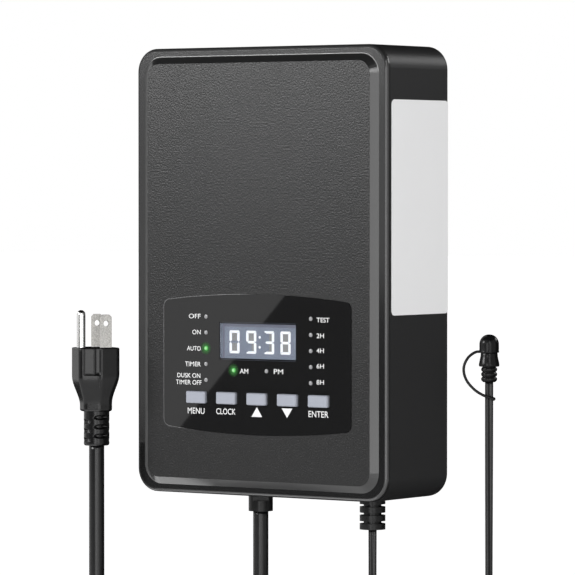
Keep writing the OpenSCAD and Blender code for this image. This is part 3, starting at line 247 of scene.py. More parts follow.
def zone_values(nodes, links, roughness, coat, zones):
    """Roughness and coat of a moulding whose planes differ, and a mask that is 1 before the last plane.
    zones are (plane, roughness, coat) from the wall forwards. Behind the first plane only edges that face
    right or down are coated."""
    coordinates = nodes.new("ShaderNodeTexCoord")
    place, facing = (nodes.new("ShaderNodeSeparateXYZ") for _ in range(2))
    links.new(coordinates.outputs["Object"], place.inputs["Vector"])
    links.new(coordinates.outputs["Normal"], facing.inputs["Vector"])
    right_or_down = maths(nodes, links, "SUBTRACT", facing.outputs["X"], facing.outputs["Z"])
    polished = maths(nodes, links, "GREATER_THAN", right_or_down, 0.12)
    rough, gloss = roughness, maths(nodes, links, "MULTIPLY", polished, coat)
    for plane, roughness_here, coat_here in zones:
        before = maths(nodes, links, "LESS_THAN", place.outputs["Y"], plane)
        rough = blend(nodes, links, before, rough, roughness_here)
        gloss = blend(nodes, links, before, gloss, coat_here)
    return rough, gloss, before


def finish_of(
    name, colour, roughness, grains=0.0, depth=0.0, mottle=0.12, spots=60.0, speckle=0.0,
    zones=None, coat=0.0, **fixed,
):
    """A Principled material whose colour, roughness and bump vary over the surface.
    With zones, grain and speckle only show before the last plane. fixed sets the shader's other sockets."""
    if not GROUPS:
        GROUPS.update(mottle=mottle_group(), grain=grain_group())
    material, shader = new_material(name, **fixed)
    nodes, links = material.node_tree.nodes, material.node_tree.links
    worn = nodes.new("ShaderNodeGroup")
    worn.node_tree = GROUPS["mottle"]
    fill(worn, {
        "Colour": (*colour, 1), "Roughness": roughness, "Spots per metre": spots, "Amount": mottle,
        "Speckle": speckle,
    })
    links.new(worn.outputs["Colour"], shader.inputs["Base Color"])
    links.new(worn.outputs["Roughness"], shader.inputs["Roughness"])
    front = None
    if zones:
        rough, gloss, front = zone_values(nodes, links, roughness, coat, zones)
        links.new(rough, worn.inputs["Roughness"])
        links.new(gloss, shader.inputs["Coat Weight"])
        links.new(maths(nodes, links, "MULTIPLY", front, speckle), worn.inputs["Speckle"])
    if depth:
        grain = nodes.new("ShaderNodeGroup")
        grain.node_tree = GROUPS["grain"]
        fill(grain, {"Grains per metre": grains, "Depth": 1.0})
        if front:
            links.new(front, grain.inputs["Depth"])
        bump = added(nodes, "ShaderNodeBump", Strength=1.0, Distance=depth)
        links.new(grain.outputs["Height"], bump.inputs["Height"])
        links.new(bump.outputs["Normal"], shader.inputs["Normal"])
    return material


def lamp_material(name, colour):
    """A finish that gives off this colour."""
    return finish_of(
        name, (0.02, 0.02, 0.02), 0.5, mottle=0.05, Emission_Color=(*colour, 1), Emission_Strength=1.0
    )


def dress(material, *names):
    """Puts the material on these CAD nodes."""
    for name in names:
        slots = NODES[name].data.materials
        slots.clear()
        slots.append(material)


# Meshes


def solid(name, points, faces, material, smooth=False):
    """A mesh piece from points in metres that rides on the box."""
    mesh = bpy.data.meshes.new(name)
    mesh.from_pydata([tuple(p) for p in points], [], faces)
    mesh.validate()
    mesh.polygons.foreach_set("use_smooth", [smooth] * len(mesh.polygons))
    mesh.materials.append(material)
    piece = bpy.data.objects.new(name, mesh)
    bpy.context.scene.collection.objects.link(piece)
    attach(piece, "box")
    return piece


def walls(rows, count, start=0, around=False):
    """Faces between neighbouring rings of points, count to a ring. around joins the last to the first."""
    faces = []
    for i in range(rows if around else rows - 1):
        low, high = start + i * count, start + (i + 1) % rows * count
        for k in range(count):
            m = (k + 1) % count
            faces.append([low + k, low + m, high + m, high + k])
    return faces


def flipped(faces):
    """The faces with their other side outwards."""
    return [face[::-1] for face in faces]


def skin(name, rings, material, flat_ends=True):
    """A closed mesh through rings of points of equal count, given in metres."""
    count = len(rings[0])
    last = (len(rings) - 1) * count
    faces = walls(len(rings), count) + [list(reversed(range(count))), list(range(last, last + count))]
    piece = solid(name, [p for ring in rings for p in ring], faces, material, smooth=True)
    for end in (-2, -1):
        piece.data.polygons[end].use_smooth = not flat_ends
    return piece


def plates(name, outlines, front, back, material):
    """Flat outlines in box millimetres (x, z) as plates between two planes, in one piece."""
    points, faces = [], []
    for outline in outlines:
        start, count = len(points), len(outline)
        points += [at(x, y, z) for y in (front, back) for x, z in outline]
        faces += [[start + i for i in range(count)], [start + 2 * count - 1 - i for i in range(count)]]
        faces += flipped(walls(2, count, start))
    return solid(name, points, faces, material)


def oblong(left, right, low, high):
    return [(left, low), (right, low), (right, high), (left, high)]


def disc(x, z, radius, sides=20):
    angles = [math.tau * k / sides for k in range(sides)]
    return [(x + radius * math.cos(a), z + radius * math.sin(a)) for a in angles]


def turned(x, y, degrees):
    """A point turned about zero."""
    angle = math.radians(degrees)
    return x * math.cos(angle) - y * math.sin(angle), x * math.sin(angle) + y * math.cos(angle)


def heading(path, i):
    """The direction of a path at one of its points."""
    ahead = path[min(i + 1, len(path) - 1)] - path[i]
    behind = path[i] - path[max(i - 1, 0)]
    return (ahead.normalized() + behind.normalized()).normalized()


def tube(name, path, section, up, material, twist=None):
    """A closed tube along path. section is in millimetres, and up is kept along its second direction.
    twist turns the section at each point, in degrees."""
    rings = []
    for i, point in enumerate(path):
        along = heading(path, i)
        side = up.cross(along).normalized()
        over = along.cross(side)
        spots = [turned(a, b, twist[i] if twist else 0.0) for a, b in section]
        rings.append([point + (side * x + over * y) * MM for x, y in spots])
    return skin(name, rings, material)


def smooth_path(points, step):
    """Points about a step apart on a smooth curve through the given ones, all in metres."""
    line = []
    for i in range(len(points) - 1):
        a, b = points[max(i - 1, 0)], points[i]
        c, d = points[i + 1], points[min(i + 2, len(points) - 1)]
        parts = max(1, round((c - b).length / step))
        for k in range(parts):
            t = k / parts
            bend, turn = 2 * a - 5 * b + 4 * c - d, 3 * b - a - 3 * c + d
            line.append(0.5 * (2 * b + (c - a) * t + bend * t**2 + turn * t**3))
    return line + [points[-1]]


def pieces(*names):
    """The objects of these CAD nodes and pieces."""
    return [NODES.get(name) or bpy.data.objects[name] for name in names]


def keep_out_of_mirrors(*objects):
    """Leaves these out of what the cover's polished rim reflects."""
    for item in objects:
        item.visible_glossy = False


def coil(start, end_x, height, turns, pitch, steps=24):
    """A hanging coil's points, from below the start to below the end, as the solids have it."""
    radius = abs(end_x - start[0]) / 2
    middle = (start[0] + end_x) / 2
    way = 1 if end_x > start[0] else -1
    first = 180 if end_x > start[0] else 0
    points = []
    for i in range(round(turns * steps) + 1):
        share = i / round(turns * steps)
        angle = math.radians(first + way * 360 * turns * share)
        x, rise = middle + radius * math.cos(angle), radius * math.sin(angle)
        points.append(at(x, start[1] - pitch * turns * share, height + rise))
    return points


def turned_piece(name, centre, profile, material, sides=48):
    """A round piece on an upright axis. profile is (radius, height) from the bottom up, in millimetres."""
    x, y, z = centre
    rings = [[at(a, b, z + height) for a, b in disc(x, y, radius, sides)] for radius, height in profile]
    return skin(name, rings, material)


def arc(cx, cy, radius, first, last, steps):
    """Points on a circle in a plane, angles in degrees."""
    angles = [math.radians(first + (last - first) * i / steps) for i in range(steps + 1)]
    return [(cx + radius * math.cos(a), cy + radius * math.sin(a)) for a in angles]


def ease(value, low, high):
    """0 below low, 1 above high, and a smooth step between."""
    t = min(1.0, max(0.0, (value - low) / (high - low)))
    return t * t * (3 - 2 * t)


def bead(name, outline, plane, radius, material):
    """A rounded raised line along an open outline of (x, z) in millimetres, standing on a plane towards the
    viewer. It runs out at both ends."""
    count, sides = len(outline), 6
    sunk = 0.03
    rings = []
    for i, (x, z) in enumerate(outline):
        ahead, behind = outline[min(i + 1, count - 1)], outline[max(i - 1, 0)]
        run = Vector((ahead[0] - behind[0], ahead[1] - behind[1])).normalized()
        size = radius * min(1, (i + 0.4) / 2, (count - 0.6 - i) / 4)
        half = arc(0, 0, size, 0, 180, sides)
        rings.append([at(x + run.y * out, plane + sunk - rise, z - run.x * out) for out, rise in half])
    return skin(name, rings, material, flat_ends=False)


def round_box(w, h, r, middle, steps=10):
    """A rectangle with round corners as points, anticlockwise."""
    points = []
    for x, z, first in ((1, 1, 0), (-1, 1, 90), (-1, -1, 180), (1, -1, 270)):
        points += arc(x * (w / 2 - r), middle + z * (h / 2 - r), r, first, first + 90, steps)
    return points


def overlay_left():
    """The overlay's bowed outline from the middle of its top, down its left side, to its foot."""
    half_w, half_h, bow, r, middle = 61.3, 37.55, 3.7, 4.0, 70.55
    big = (half_w ** 2 + bow ** 2) / (2 * bow)
    inner = half_w - r

    def edge(x):
        return half_h - big + math.sqrt(big * big - x * x)

    low = edge(inner) - r
    top = [(-inner * k / 8, middle + edge(inner * k / 8)) for k in range(8)]
    sides = arc(-inner, middle + low, r, 90, 180, 8) + arc(-inner, middle - low, r, 180, 270, 8)
    return top + sides + [(-inner * k / 8, middle - edge(inner * k / 8)) for k in (7, 6, 5)]


# Words on the panel: what it says, where its side or middle lies, and how wide and tall it is, in millimetres
LEFT_WORDS = (
    ("OFF", -36.5, 94.6, 7.9, 2.45),
    ("ON", -36.5, 86.0, 5.6, 2.45),
    ("AUTO", -36.5, 77.2, 9.2, 2.45),
    ("TIMER", -36.5, 68.8, 10.5, 2.45),
    ("DUSK ON", -36.8, 62.6, 15.4, 2.45),
    ("TIMER OFF", -35.9, 58.9, 17.2, 2.45),
)
RIGHT_WORDS = (
    ("TEST", 39.4, 93.9, 8.2, 2.5),
    ("2H", 39.4, 85.6, 4.7, 2.5),
    ("4H", 39.4, 77.8, 4.7, 2.5),
    ("6H", 39.4, 69.6, 4.7, 2.5),
    ("8H", 39.4, 61.1, 4.7, 2.5),
    ("AM", -10.6, 65.7, 5.6, 2.6),
    ("PM", 11.7, 66.0, 6.1, 2.6),
)
MIDDLE_WORDS = (
    ("MENU", -39.6, 43.3, 11.2, 3.2),
    ("CLOCK", -19.8, 43.5, 12.8, 3.2),
    ("ENTER", 40.6, 43.8, 12.8, 3.3),
)
ARROWS = (
    ((-2.9, 42.8), (4.1, 42.8), (0.6, 48.0)),
    ((20.3, 42.8), (23.7, 47.9), (16.9, 47.9)),
)


def word(text, width, height):
    """The outline of a bold word as triangles, its lower left corner at zero, in millimetres."""
    curve = bpy.data.curves.new("word", "FONT")
    curve.body = text
    curve.offset = 0.005
    curve.resolution_u = 4
    holder = bpy.data.objects.new("word", curve)
    bpy.context.scene.collection.objects.link(holder)
    bpy.context.view_layer.update()
    mesh = bpy.data.meshes.new_from_object(holder.evaluated_get(bpy.context.evaluated_depsgraph_get()))
    xs = [v.co.x for v in mesh.vertices]
    ys = [v.co.y for v in mesh.vertices]
    wide, tall = max(xs) - min(xs), max(ys) - min(ys)
    points = [((v.co.x - min(xs)) / wide * width, (v.co.y - min(ys)) / tall * height) for v in mesh.vertices]
    faces = [list(p.vertices) for p in mesh.polygons]
    bpy.data.objects.remove(holder)
    bpy.data.curves.remove(curve)
    bpy.data.meshes.remove(mesh)
    return points, faces


def printed_words(material, plane):
    """All the words and both arrows as one flat piece on a plane."""
    points, faces = [], []
    for words, side_share in ((LEFT_WORDS, 1), (RIGHT_WORDS, 0), (MIDDLE_WORDS, 0.5)):
        for label, x, z, width, height in words:
            corners, triangles = word(label, width, height)
            faces += [[len(points) + v for v in triangle] for triangle in triangles]
            points += [at(x - side_share * width + a, plane, z + b) for a, b in corners]
    for arrow in ARROWS:
        faces.append([len(points), len(points) + 1, len(points) + 2])
        points += [at(x, plane, z) for x, z in arrow]
    return solid("panel_words", points, faces, material)


# The clock's digits: left edge and what each shows, with the seven strokes named as on a clock
DIGITS = ((-18.4, "0"), (-7.4, "9"), (4.3, "3"), (15.0, "8"))
DIGIT_W, DIGIT_H, DIGIT_LOW = 6.7, 12.35, 76.3
UPRIGHT, LEVEL = 1.6, 1.4
STROKES = {"0": "abcdef", "9": "abcdfg", "3": "abcdg", "8": "abcdefg"}
# The darker fields inside a digit: in its upper or lower half, and how far from its left edge
COUNTERS = {
    "0": (("u", UPRIGHT), ("l", UPRIGHT)),
    "9": (("u", UPRIGHT), ("l", 3.6)),
    "3": (("l", 3.4), ("u", 3.4)),
    "8": (("u", UPRIGHT), ("l", UPRIGHT)),
}
COLON_X, COLON_ZS, COLON_R = 1.5, (79.9, 85.2), 0.74


def stroke_outline(name, x, z):
    """One stroke of a digit as an outline, with mitred ends and a hair of space to its neighbours."""
    w, h, u, v, gap, cut = DIGIT_W, DIGIT_H, UPRIGHT, LEVEL, 0.09, 0.55
    half = h / 2
    shapes = {
        "a": [
            (gap + cut, h), (w - gap - cut, h), (w - gap, h - cut), (w - u - gap, h - v), (u + gap, h - v),
            (gap, h - cut),
        ],
        "d": [(gap, cut), (u + gap, v), (w - u - gap, v), (w - gap, cut), (w - gap - cut, 0), (gap + cut, 0)],
        "f": [
            (0, h - gap - cut), (u, h - v - gap), (u, half + v / 2 + gap), (u * 0.45, half + gap),
            (0, half + u * 0.4),
        ],
        "e": [
            (0, gap + cut), (0, half - u * 0.4), (u * 0.45, half - gap), (u, half - v / 2 - gap),
            (u, v + gap),
        ],
        "g": [
            (u * 0.5 + gap, half), (u + gap, half + v / 2), (w - u - gap, half + v / 2),
            (w - u * 0.5 - gap, half), (w - u - gap, half - v / 2), (u + gap, half - v / 2),
        ],
    }
    if name in "bc":
        return [(x + w - a, z + b) for a, b in reversed(shapes["f" if name == "b" else "e"])]
    return [(x + a, z + b) for a, b in shapes[name]]


def counter_outline(name, x, z, left):
    """The darker field inside a digit's upper or lower half."""
    half = DIGIT_H / 2
    low, high = (LEVEL, half - LEVEL / 2) if name == "l" else (half + LEVEL / 2, DIGIT_H - LEVEL)
    return oblong(x + left, x + DIGIT_W - UPRIGHT, z + low, z + high)


def glow_rings(material, spots, plane, inner, outer):
    """Flat rings round the lit indicators that fade outwards."""
    points, faces, glow = [], [], []
    sides, rings, fall = 32, 6, 1.6
    for x, z in spots:
        faces += flipped(walls(rings + 1, sides, len(points)))
        for r in range(rings + 1):
            share = r / rings
            points += [at(a, plane, b) for a, b in disc(x, z, inner + (outer - inner) * share, sides)]
            glow += [(1 - share) ** fall] * sides
    piece = solid("indicator_glow", points, faces, material)
    layer = piece.data.attributes.new("glow", "FLOAT", "POINT")
    layer.data.foreach_set("value", glow)
    return piece


def glow_material(colour):
    """A green haze that the glow attribute thins out."""
    material, shader = new_material(
        "Green glow", Base_Color=(0, 0, 0, 1), Roughness=0.4, Emission_Color=(*colour, 1),
        Emission_Strength=0.35,
    )
    level = material.node_tree.nodes.new("ShaderNodeAttribute")
    level.attribute_name = "glow"
    material.node_tree.links.new(level.outputs["Fac"], shader.inputs["Alpha"])
    return material


# Operators


class StageOperator(bpy.types.Operator):
    """Sets the camera, the lamps, the white surroundings and the floor"""

    bl_idname = "transformer.stage"
    bl_label = "Stage"

    # The camera's lens and sensor in millimetres, how far up it stands in radians, and its distance and aim
    LENS, FILM, LIFT, DISTANCE, AIM = 265.3, 36, 0.024, 2.2468, (0.0182, -0.060, -0.09308)
    CLIP_END = 20
    # Each lamp: its setting, where it hangs, what it aims at, its width and its height, in metres
    LAMPS = (
        ("key", (-0.60, -0.90, 0.25), (-0.02, -0.06, 0.02), 0.42, 0.26),
        ("side", (0.93, -0.83, -0.08), (0.08, -0.06, -0.09), 0.42, 0.6),
        ("strip", (0.298, -0.818, -0.20), (-0.02, -0.03, -0.20), 0.30, 0.6),
        ("flare", (0.825, -0.89, 0.37), (0.08, -0.06, 0.03), 0.20, 0.30),
        ("back", (0.58, 0.80, 0.42), (0.08, -0.03, 0.02), 0.7, 0.30),
        ("low", (-0.11, -0.13, -0.345), (-0.09, -0.10, -0.21), 0.34, 0.10),
    )
    # The line across the overlay runs between these two, as (x, z) in box millimetres
    LINE_TOP, LINE_FOOT = (22.2, 111.3), (-55.6, 30.3)
    OVERLAY_FACE, LINE_PLANE = -0.0634, -0.95
    # How brightly the floor shines to the eye and in reflections, how far below it lies, and half its size
    FLOOR_GLOW, FLOOR_GAP, FLOOR_HALF = 0.79, 0.0015, 14.0

    def execute(self, context):
        settings = context.scene.transformer_stage
        scene = context.scene
        scene.view_settings.view_transform = "Standard"

        camera = bpy.data.objects.new("camera", bpy.data.cameras.new("camera"))
        scene.collection.objects.link(camera)
        scene.camera = camera
        camera.data.sensor_width = self.FILM
        camera.data.lens = self.LENS
        camera.data.clip_end = self.CLIP_END
        turn = math.radians(VIEW_TURN)
        lift = self.LIFT
        out = Vector((math.sin(turn) * math.cos(lift), -math.cos(turn) * math.cos(lift), math.sin(lift)))
        camera.location = Vector(self.AIM) + out * self.DISTANCE
        camera.rotation_euler = (-out).to_track_quat("-Z", "Y").to_euler()

        for name, place, aim, width, height in self.LAMPS:
            self.lamp(name + "_lamp", place, aim, getattr(settings, name), width, height)
        self.cards(scene.camera.location)
        self.world(scene, settings.fill)
        self.floor()
        return {"FINISHED"}

    def cards(self, eye):
        """Dark cards that only reflections see. The first one's edge is the line across the overlay."""
        plane = self.LINE_PLANE
        mirrored = Vector((eye.x, 2 * self.OVERLAY_FACE - eye.y, eye.z))

        def seen_in_overlay(x, z):
            ray = at(x, self.OVERLAY_FACE / MM, z) - mirrored
            return mirrored + ray * ((plane - mirrored.y) / ray.y)

        low = CAD_BOX[0][2]
        top, foot = seen_in_overlay(*self.LINE_TOP), seen_in_overlay(*self.LINE_FOOT)
        left, right = -2.2, 0.75
        outer = [(left, foot.z), (left, low), (right, low), (right, top.z)]
        self.card("gloss_card", [top, foot, *(Vector((x, plane, z)) for x, z in outer)])
        turn = math.radians(VIEW_TURN)
        behind_eye = eye + (eye - at(0, 0, 110)).normalized() * 0.25
        for name, middle, wide, half, foot_z, head_z in (
            ("camera_card", behind_eye, (math.cos(turn), math.sin(turn)), 1.3, -0.5, 1.5),
            ("back_card", Vector((0.493, 0.816, 0)) * 1.5, (0.856, -0.517), 1.1, low, 1.1),
            ("behind_card", Vector((-0.53, 0.848, 0)) * 1.5, (0.848, 0.53), 0.73, low, 1.1),
        ):
            ends = oblong(-half, half, foot_z, head_z)
            self.card(name, [(middle.x + wide[0] * a, middle.y + wide[1] * a, b) for a, b in ends])
        self.card("floor_card", [(x, y, low + 0.003) for x, y in oblong(-1.2, 0.7, -0.07, 1.4)])
        self.card("top_card", [(-1.8, -1.15, 0.9), (1.5, -1.15, 0.9), (1.5, 2.2, 1.1), (-1.8, 2.2, 1.1)])

    def card(self, name, corners):
        material = bpy.data.materials.get("Dark card") or new_material(
            "Dark card", Base_Color=(0, 0, 0, 1), Roughness=1.0, Specular_IOR_Level=0.0
        )[0]
        card = self.sheet(name, corners, material)
        card.visible_camera = False
        card.visible_diffuse = False
        card.visible_shadow = False
        card.visible_transmission = False

    def sheet(self, name, corners, material):
        """One flat face that belongs to the stage."""
        mesh = bpy.data.meshes.new(name)
        mesh.from_pydata([tuple(c) for c in corners], [], [list(range(len(corners)))])
        mesh.materials.append(material)
        piece = bpy.data.objects.new(name, mesh)
        bpy.context.scene.collection.objects.link(piece)
        return piece

    def lamp(self, name, place, aim, power, width, height):
        light = bpy.data.lights.new(name, "AREA")
        light.shape = "RECTANGLE"
        light.size = width
        light.size_y = height
        light.energy = power
        holder = bpy.data.objects.new(name, light)
        bpy.context.scene.collection.objects.link(holder)
        holder.location = place
        holder.rotation_euler = (Vector(aim) - Vector(place)).to_track_quat("-Z", "Y").to_euler()
        holder.visible_camera = False

    def seen(self, nodes, links):
        """1 on camera, glossy and transmission rays."""
        path = nodes.new("ShaderNodeLightPath")
        both = maths(nodes, links, "MAXIMUM", path.outputs["Is Camera Ray"], path.outputs["Is Glossy Ray"])
        return maths(nodes, links, "MAXIMUM", both, path.outputs["Is Transmission Ray"])

    def world(self, scene, light):
        """White to the eye and in reflections, and a dimmer light from all round."""
        world = bpy.data.worlds.new("white room")
        scene.world = world
        world.use_nodes = True
        nodes, links = world.node_tree.nodes, world.node_tree.links
        sky = nodes["Background"]
        sky.inputs["Color"].default_value = (1, 1, 1, 1)
        more = maths(nodes, links, "MULTIPLY", self.seen(nodes, links), 1.0 - light)
        links.new(maths(nodes, links, "ADD", more, light), sky.inputs["Strength"])

    def floor(self):
        material, shader = new_material(
            "Pale floor", Base_Color=(0.8, 0.8, 0.8, 1), Roughness=0.9, Emission_Color=(1, 1, 1, 1)
        )
        nodes, links = material.node_tree.nodes, material.node_tree.links
        glow = maths(nodes, links, "MULTIPLY", self.seen(nodes, links), self.FLOOR_GLOW)
        links.new(glow, shader.inputs["Emission Strength"])
        low, half = min(CAD_BOX[0][2], 0) - self.FLOOR_GAP, self.FLOOR_HALF
        self.sheet("floor", [(x, y, low) for x, y in oblong(-half, half, -half, half)], material)


class BoxOperator(bpy.types.Operator):
    """Finishes the housing, the cover, the label, the glands and the fittings"""

    bl_idname = "transformer.box"
    bl_label = "Box"

    # How far the panel stands before its foot, and the foot's width, height, corner and middle
    PANEL_RISE, PANEL_OUTLINE = 3.0, (153.1, 230.7, 10.85, 120.0)
    # The painted highlight line at the foot: its radius, and how many of the outline's points it follows
    LINE_R, LINE_POINTS = 0.34, 18

    def execute(self, context):
        settings = context.scene.transformer_box
        grains = 1.0 / settings.grain
        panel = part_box("front_cover")[0].y
        foot = panel + self.PANEL_RISE * MM
        # The plane at the panel's foot, the sides that rise from it, and its face
        zones = ((foot + 0.000001, 0.14, 0.6), (foot - 0.00005, 0.42, 0.75), (panel + 0.0001, 0.35, 0.0))
        cover = finish_of(
            "Textured cover", settings.cover, 0.60, grains, 0.00018, mottle=0.05, spots=25, speckle=1.2,
            zones=zones, coat=0.9, Specular_IOR_Level=0.23, Coat_Roughness=0.12,
        )
        dress(cover, "front_cover")
        edge = finish_of(
            "Polished edge", settings.edge, 0.24, 900, 0.000004, mottle=0.1, Specular_IOR_Level=0.5
        )
        # A raised line whose pale colour is a painted highlight, round the upper right corner, along the top
        # and into the upper left corner
        way = round_box(*self.PANEL_OUTLINE)[:self.LINE_POINTS]
        line = bead("panel_foot_line", way, foot / MM, self.LINE_R, edge)
        housing = finish_of(
            "Satin housing", settings.housing, 0.40, 3200, 0.000006, mottle=0.1, spots=14, speckle=0.1,
            Specular_IOR_Level=0.15,
        )
        dress(housing, "rear_housing")
        dress(finish_of("Foam rubber", (0.008, 0.008, 0.008), 0.8, 2500, 0.00005), "cover_gasket")
        steel = finish_of("Zinc plated steel", (0.55, 0.56, 0.57), 0.32, 900, 0.00001, Metallic=1.0)
        dress(steel, *ZINC_PARTS)
        gland = finish_of(
            "Gland rubber", (0.005, 0.005, 0.0052), 0.32, 2200, 0.00002, speckle=0.1, Specular_IOR_Level=0.2
        )
        dress(gland, "mains_gland", "sensor_gland")
        label = finish_of("Blank label", settings.label, 0.36, 600, 0.000006, mottle=0.02, spots=8)
        dress(label, "rating_label")
        return {"FINISHED"}


class PanelOperator(bpy.types.Operator):
    """Prints the overlay, lights the display and the indicators and colours the buttons"""

    bl_idname = "transformer.panel"
    bl_label = "Control panel"

    # The indicators: x of both columns, their middle and spacing, and where AM and PM are
    COLUMN_XS, COLUMN_MIDDLE, COLUMN_STEP, NOON = (-33.1, 35.5), 78.7, 8.5, [(-14.8, 67.3), (6.8, 67.3)]
    # A lens from its foot to its tip, as (radius, depth behind the overlay's face)
    LENS = ((1.12, 0.5), (1.12, 0.02), (1.0, -0.05), (0.8, -0.11), (0.45, -0.16))
    LENS_TIP = -0.17
    # A lit chip's radius, and where its glow starts and ends
    CHIP_R, GLOW_INNER, GLOW_OUTER = 0.72, 1.3, 3.9
    # What the screen shows and what lies under it, as distances before the window's back
    SHOWN, UNDER = (0.12, 0.06), (0.05, 0.02)
    # Heights of the surround's foot and head, and of the painted shade along the screen's top and left side:
    # its head and side, with its four margins
    SURROUND_FOOT, SURROUND_HEAD = 0.7, 0.6
    BORDER_HEAD, BORDER_SIDE = 2.3, 2.3
    MARGIN_LEFT, MARGIN_RIGHT, MARGIN_TOP, MARGIN_FOOT = 0.9, 0.4, 0.6, 0.3

    def execute(self, context):
        settings = context.scene.transformer_panel
        overlay = finish_of(
            "Glossy overlay", settings.overlay, 0.02, mottle=0.01, spots=20, Specular_IOR_Level=0.4
        )
        dress(overlay, "control_overlay")
        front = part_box("control_overlay")[0].y / MM
        ink = finish_of("White print", (0.62, 0.62, 0.62), 0.45, mottle=0.05, spots=400)
        printed_words(ink, front - 0.02)
        # A rounded line along the overlay's top left and left side: its curve catches the lamps, and its pale
        # colour is partly a painted highlight
        edge_highlight = finish_of("Overlay edge", (0.10, 0.10, 0.102), 0.3, 900, 0.000004, mottle=0.1)
        bead("overlay_edge_line", overlay_left(), front + 0.05, 0.17, edge_highlight)

        self.display(settings, overlay)
        self.indicators(settings, front)

        button = finish_of("Button", settings.buttons, 0.38, 3000, 0.000006, mottle=0.04, spots=120)
        dress(button, *BUTTONS)
        return {"FINISHED"}

    def display(self, settings, overlay):
        """The window, the lit screen behind it, what the screen shows, and painted shade along the screen's
        top and left side.
        """
        window = finish_of(
            "Display window", (0.93, 0.95, 0.98), 0.04, mottle=0.02, spots=40,
            Transmission_Weight=1.0, IOR=1.2,
        )
        dress(window, "display_window")
        screen = finish_of(
            "Lit screen", (0.03, 0.035, 0.05), 0.5, mottle=0.05, spots=90,
            Emission_Color=(*settings.screen, 1), Emission_Strength=1.0,
        )
        dress(screen, "display_module")

        low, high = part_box("display_window")
        face, back = low.y / MM, high.y / MM
        x0, x1 = low.x / MM, high.x / MM
        z0, z1 = low.z / MM + HOOK, high.z / MM + HOOK
        lit = lamp_material("Digits", settings.digits)
        dim = lamp_material("Unlit digits", (0.19, 0.19, 0.19))
        shade = lamp_material("Screen border", (0.078, 0.086, 0.13))
        strokes = [stroke_outline(s, x, DIGIT_LOW) for x, shown in DIGITS for s in STROKES[shown]]
        strokes += [disc(COLON_X, z, COLON_R) for z in COLON_ZS]
        shown_at, under_at = ([back - depth for depth in pair] for pair in (self.SHOWN, self.UNDER))
        plates("clock_digits", strokes, *shown_at, lit)
        inner = [counter_outline(c, x, DIGIT_LOW, left) for x, shown in DIGITS for c, left in COUNTERS[shown]]
        plates("clock_ghosts", inner, *under_at, dim)
        edges = [oblong(x0, x1, z0, z0 + self.SURROUND_FOOT), oblong(x0, x1, z1 - self.SURROUND_HEAD, z1)]
        plates("window_surround", edges, face - 0.05, face + 0.02, overlay)
        # Painted shade: darker glowing bands along the screen's top and left side, where the window's edge
        # would shade it
        left, head = x0 + self.MARGIN_LEFT, z1 - self.BORDER_HEAD
        shade_bands = [
            oblong(left, x1 - self.MARGIN_RIGHT, head, z1 - self.MARGIN_TOP),
            oblong(left, x0 + self.BORDER_SIDE, z0 + self.MARGIN_FOOT, head),
        ]
        plates("screen_border", shade_bands, *under_at, shade)

    def indicators(self, settings, front):
        """The lenses in the overlay's holes, with a chip and a glow for each lit one."""
        inside = finish_of("Indicator body", (0.06, 0.06, 0.062), 0.3, mottle=0.1, spots=500)
        dress(inside, "indicator_leds", "indicator_leds_lit")
        heights = [self.COLUMN_MIDDLE + self.COLUMN_STEP * i for i in range(2, -3, -1)]
        spots = [(x, z) for x in self.COLUMN_XS for z in heights] + self.NOON
        lit = [spots[2], self.NOON[0]]
        clear = finish_of("Clear lens", (0.22, 0.22, 0.225), 0.25, mottle=0.1, spots=900)
        self.lenses("indicator_lenses", [spot for spot in spots if spot not in lit], front, clear)
        self.lenses("indicator_lenses_lit", lit, front, lamp_material("Lit lens", settings.lamp))
        core = lamp_material("Lit chip", (0.34, 0.72, 0.30))
        chips = [disc(x, z, self.CHIP_R) for x, z in lit]
        plates("indicator_cores", chips, front - 0.22, front - 0.1, core)
        glow_rings(glow_material((0.0, 0.42, 0.0)), lit, front - 0.015, self.GLOW_INNER, self.GLOW_OUTER)

    def lenses(self, name, spots, front, material):
        """Domed lenses at these spots, as one piece."""
        points, faces = [], []
        sides, rows = 24, len(self.LENS)
        for x, z in spots:
            start = len(points)
            for radius, depth in self.LENS:
                points += [at(a, front + depth, b) for a, b in disc(x, z, radius, sides)]
            tip, last = len(points), len(points) - sides
            points.append(at(x, front + self.LENS_TIP, z))
            faces += walls(rows, sides, start)
            faces += [[last + k, last + (k + 1) % sides, tip] for k in range(sides)]
            faces.append([start + k for k in reversed(range(sides))])
        return solid(name, points, faces, material, smooth=True)


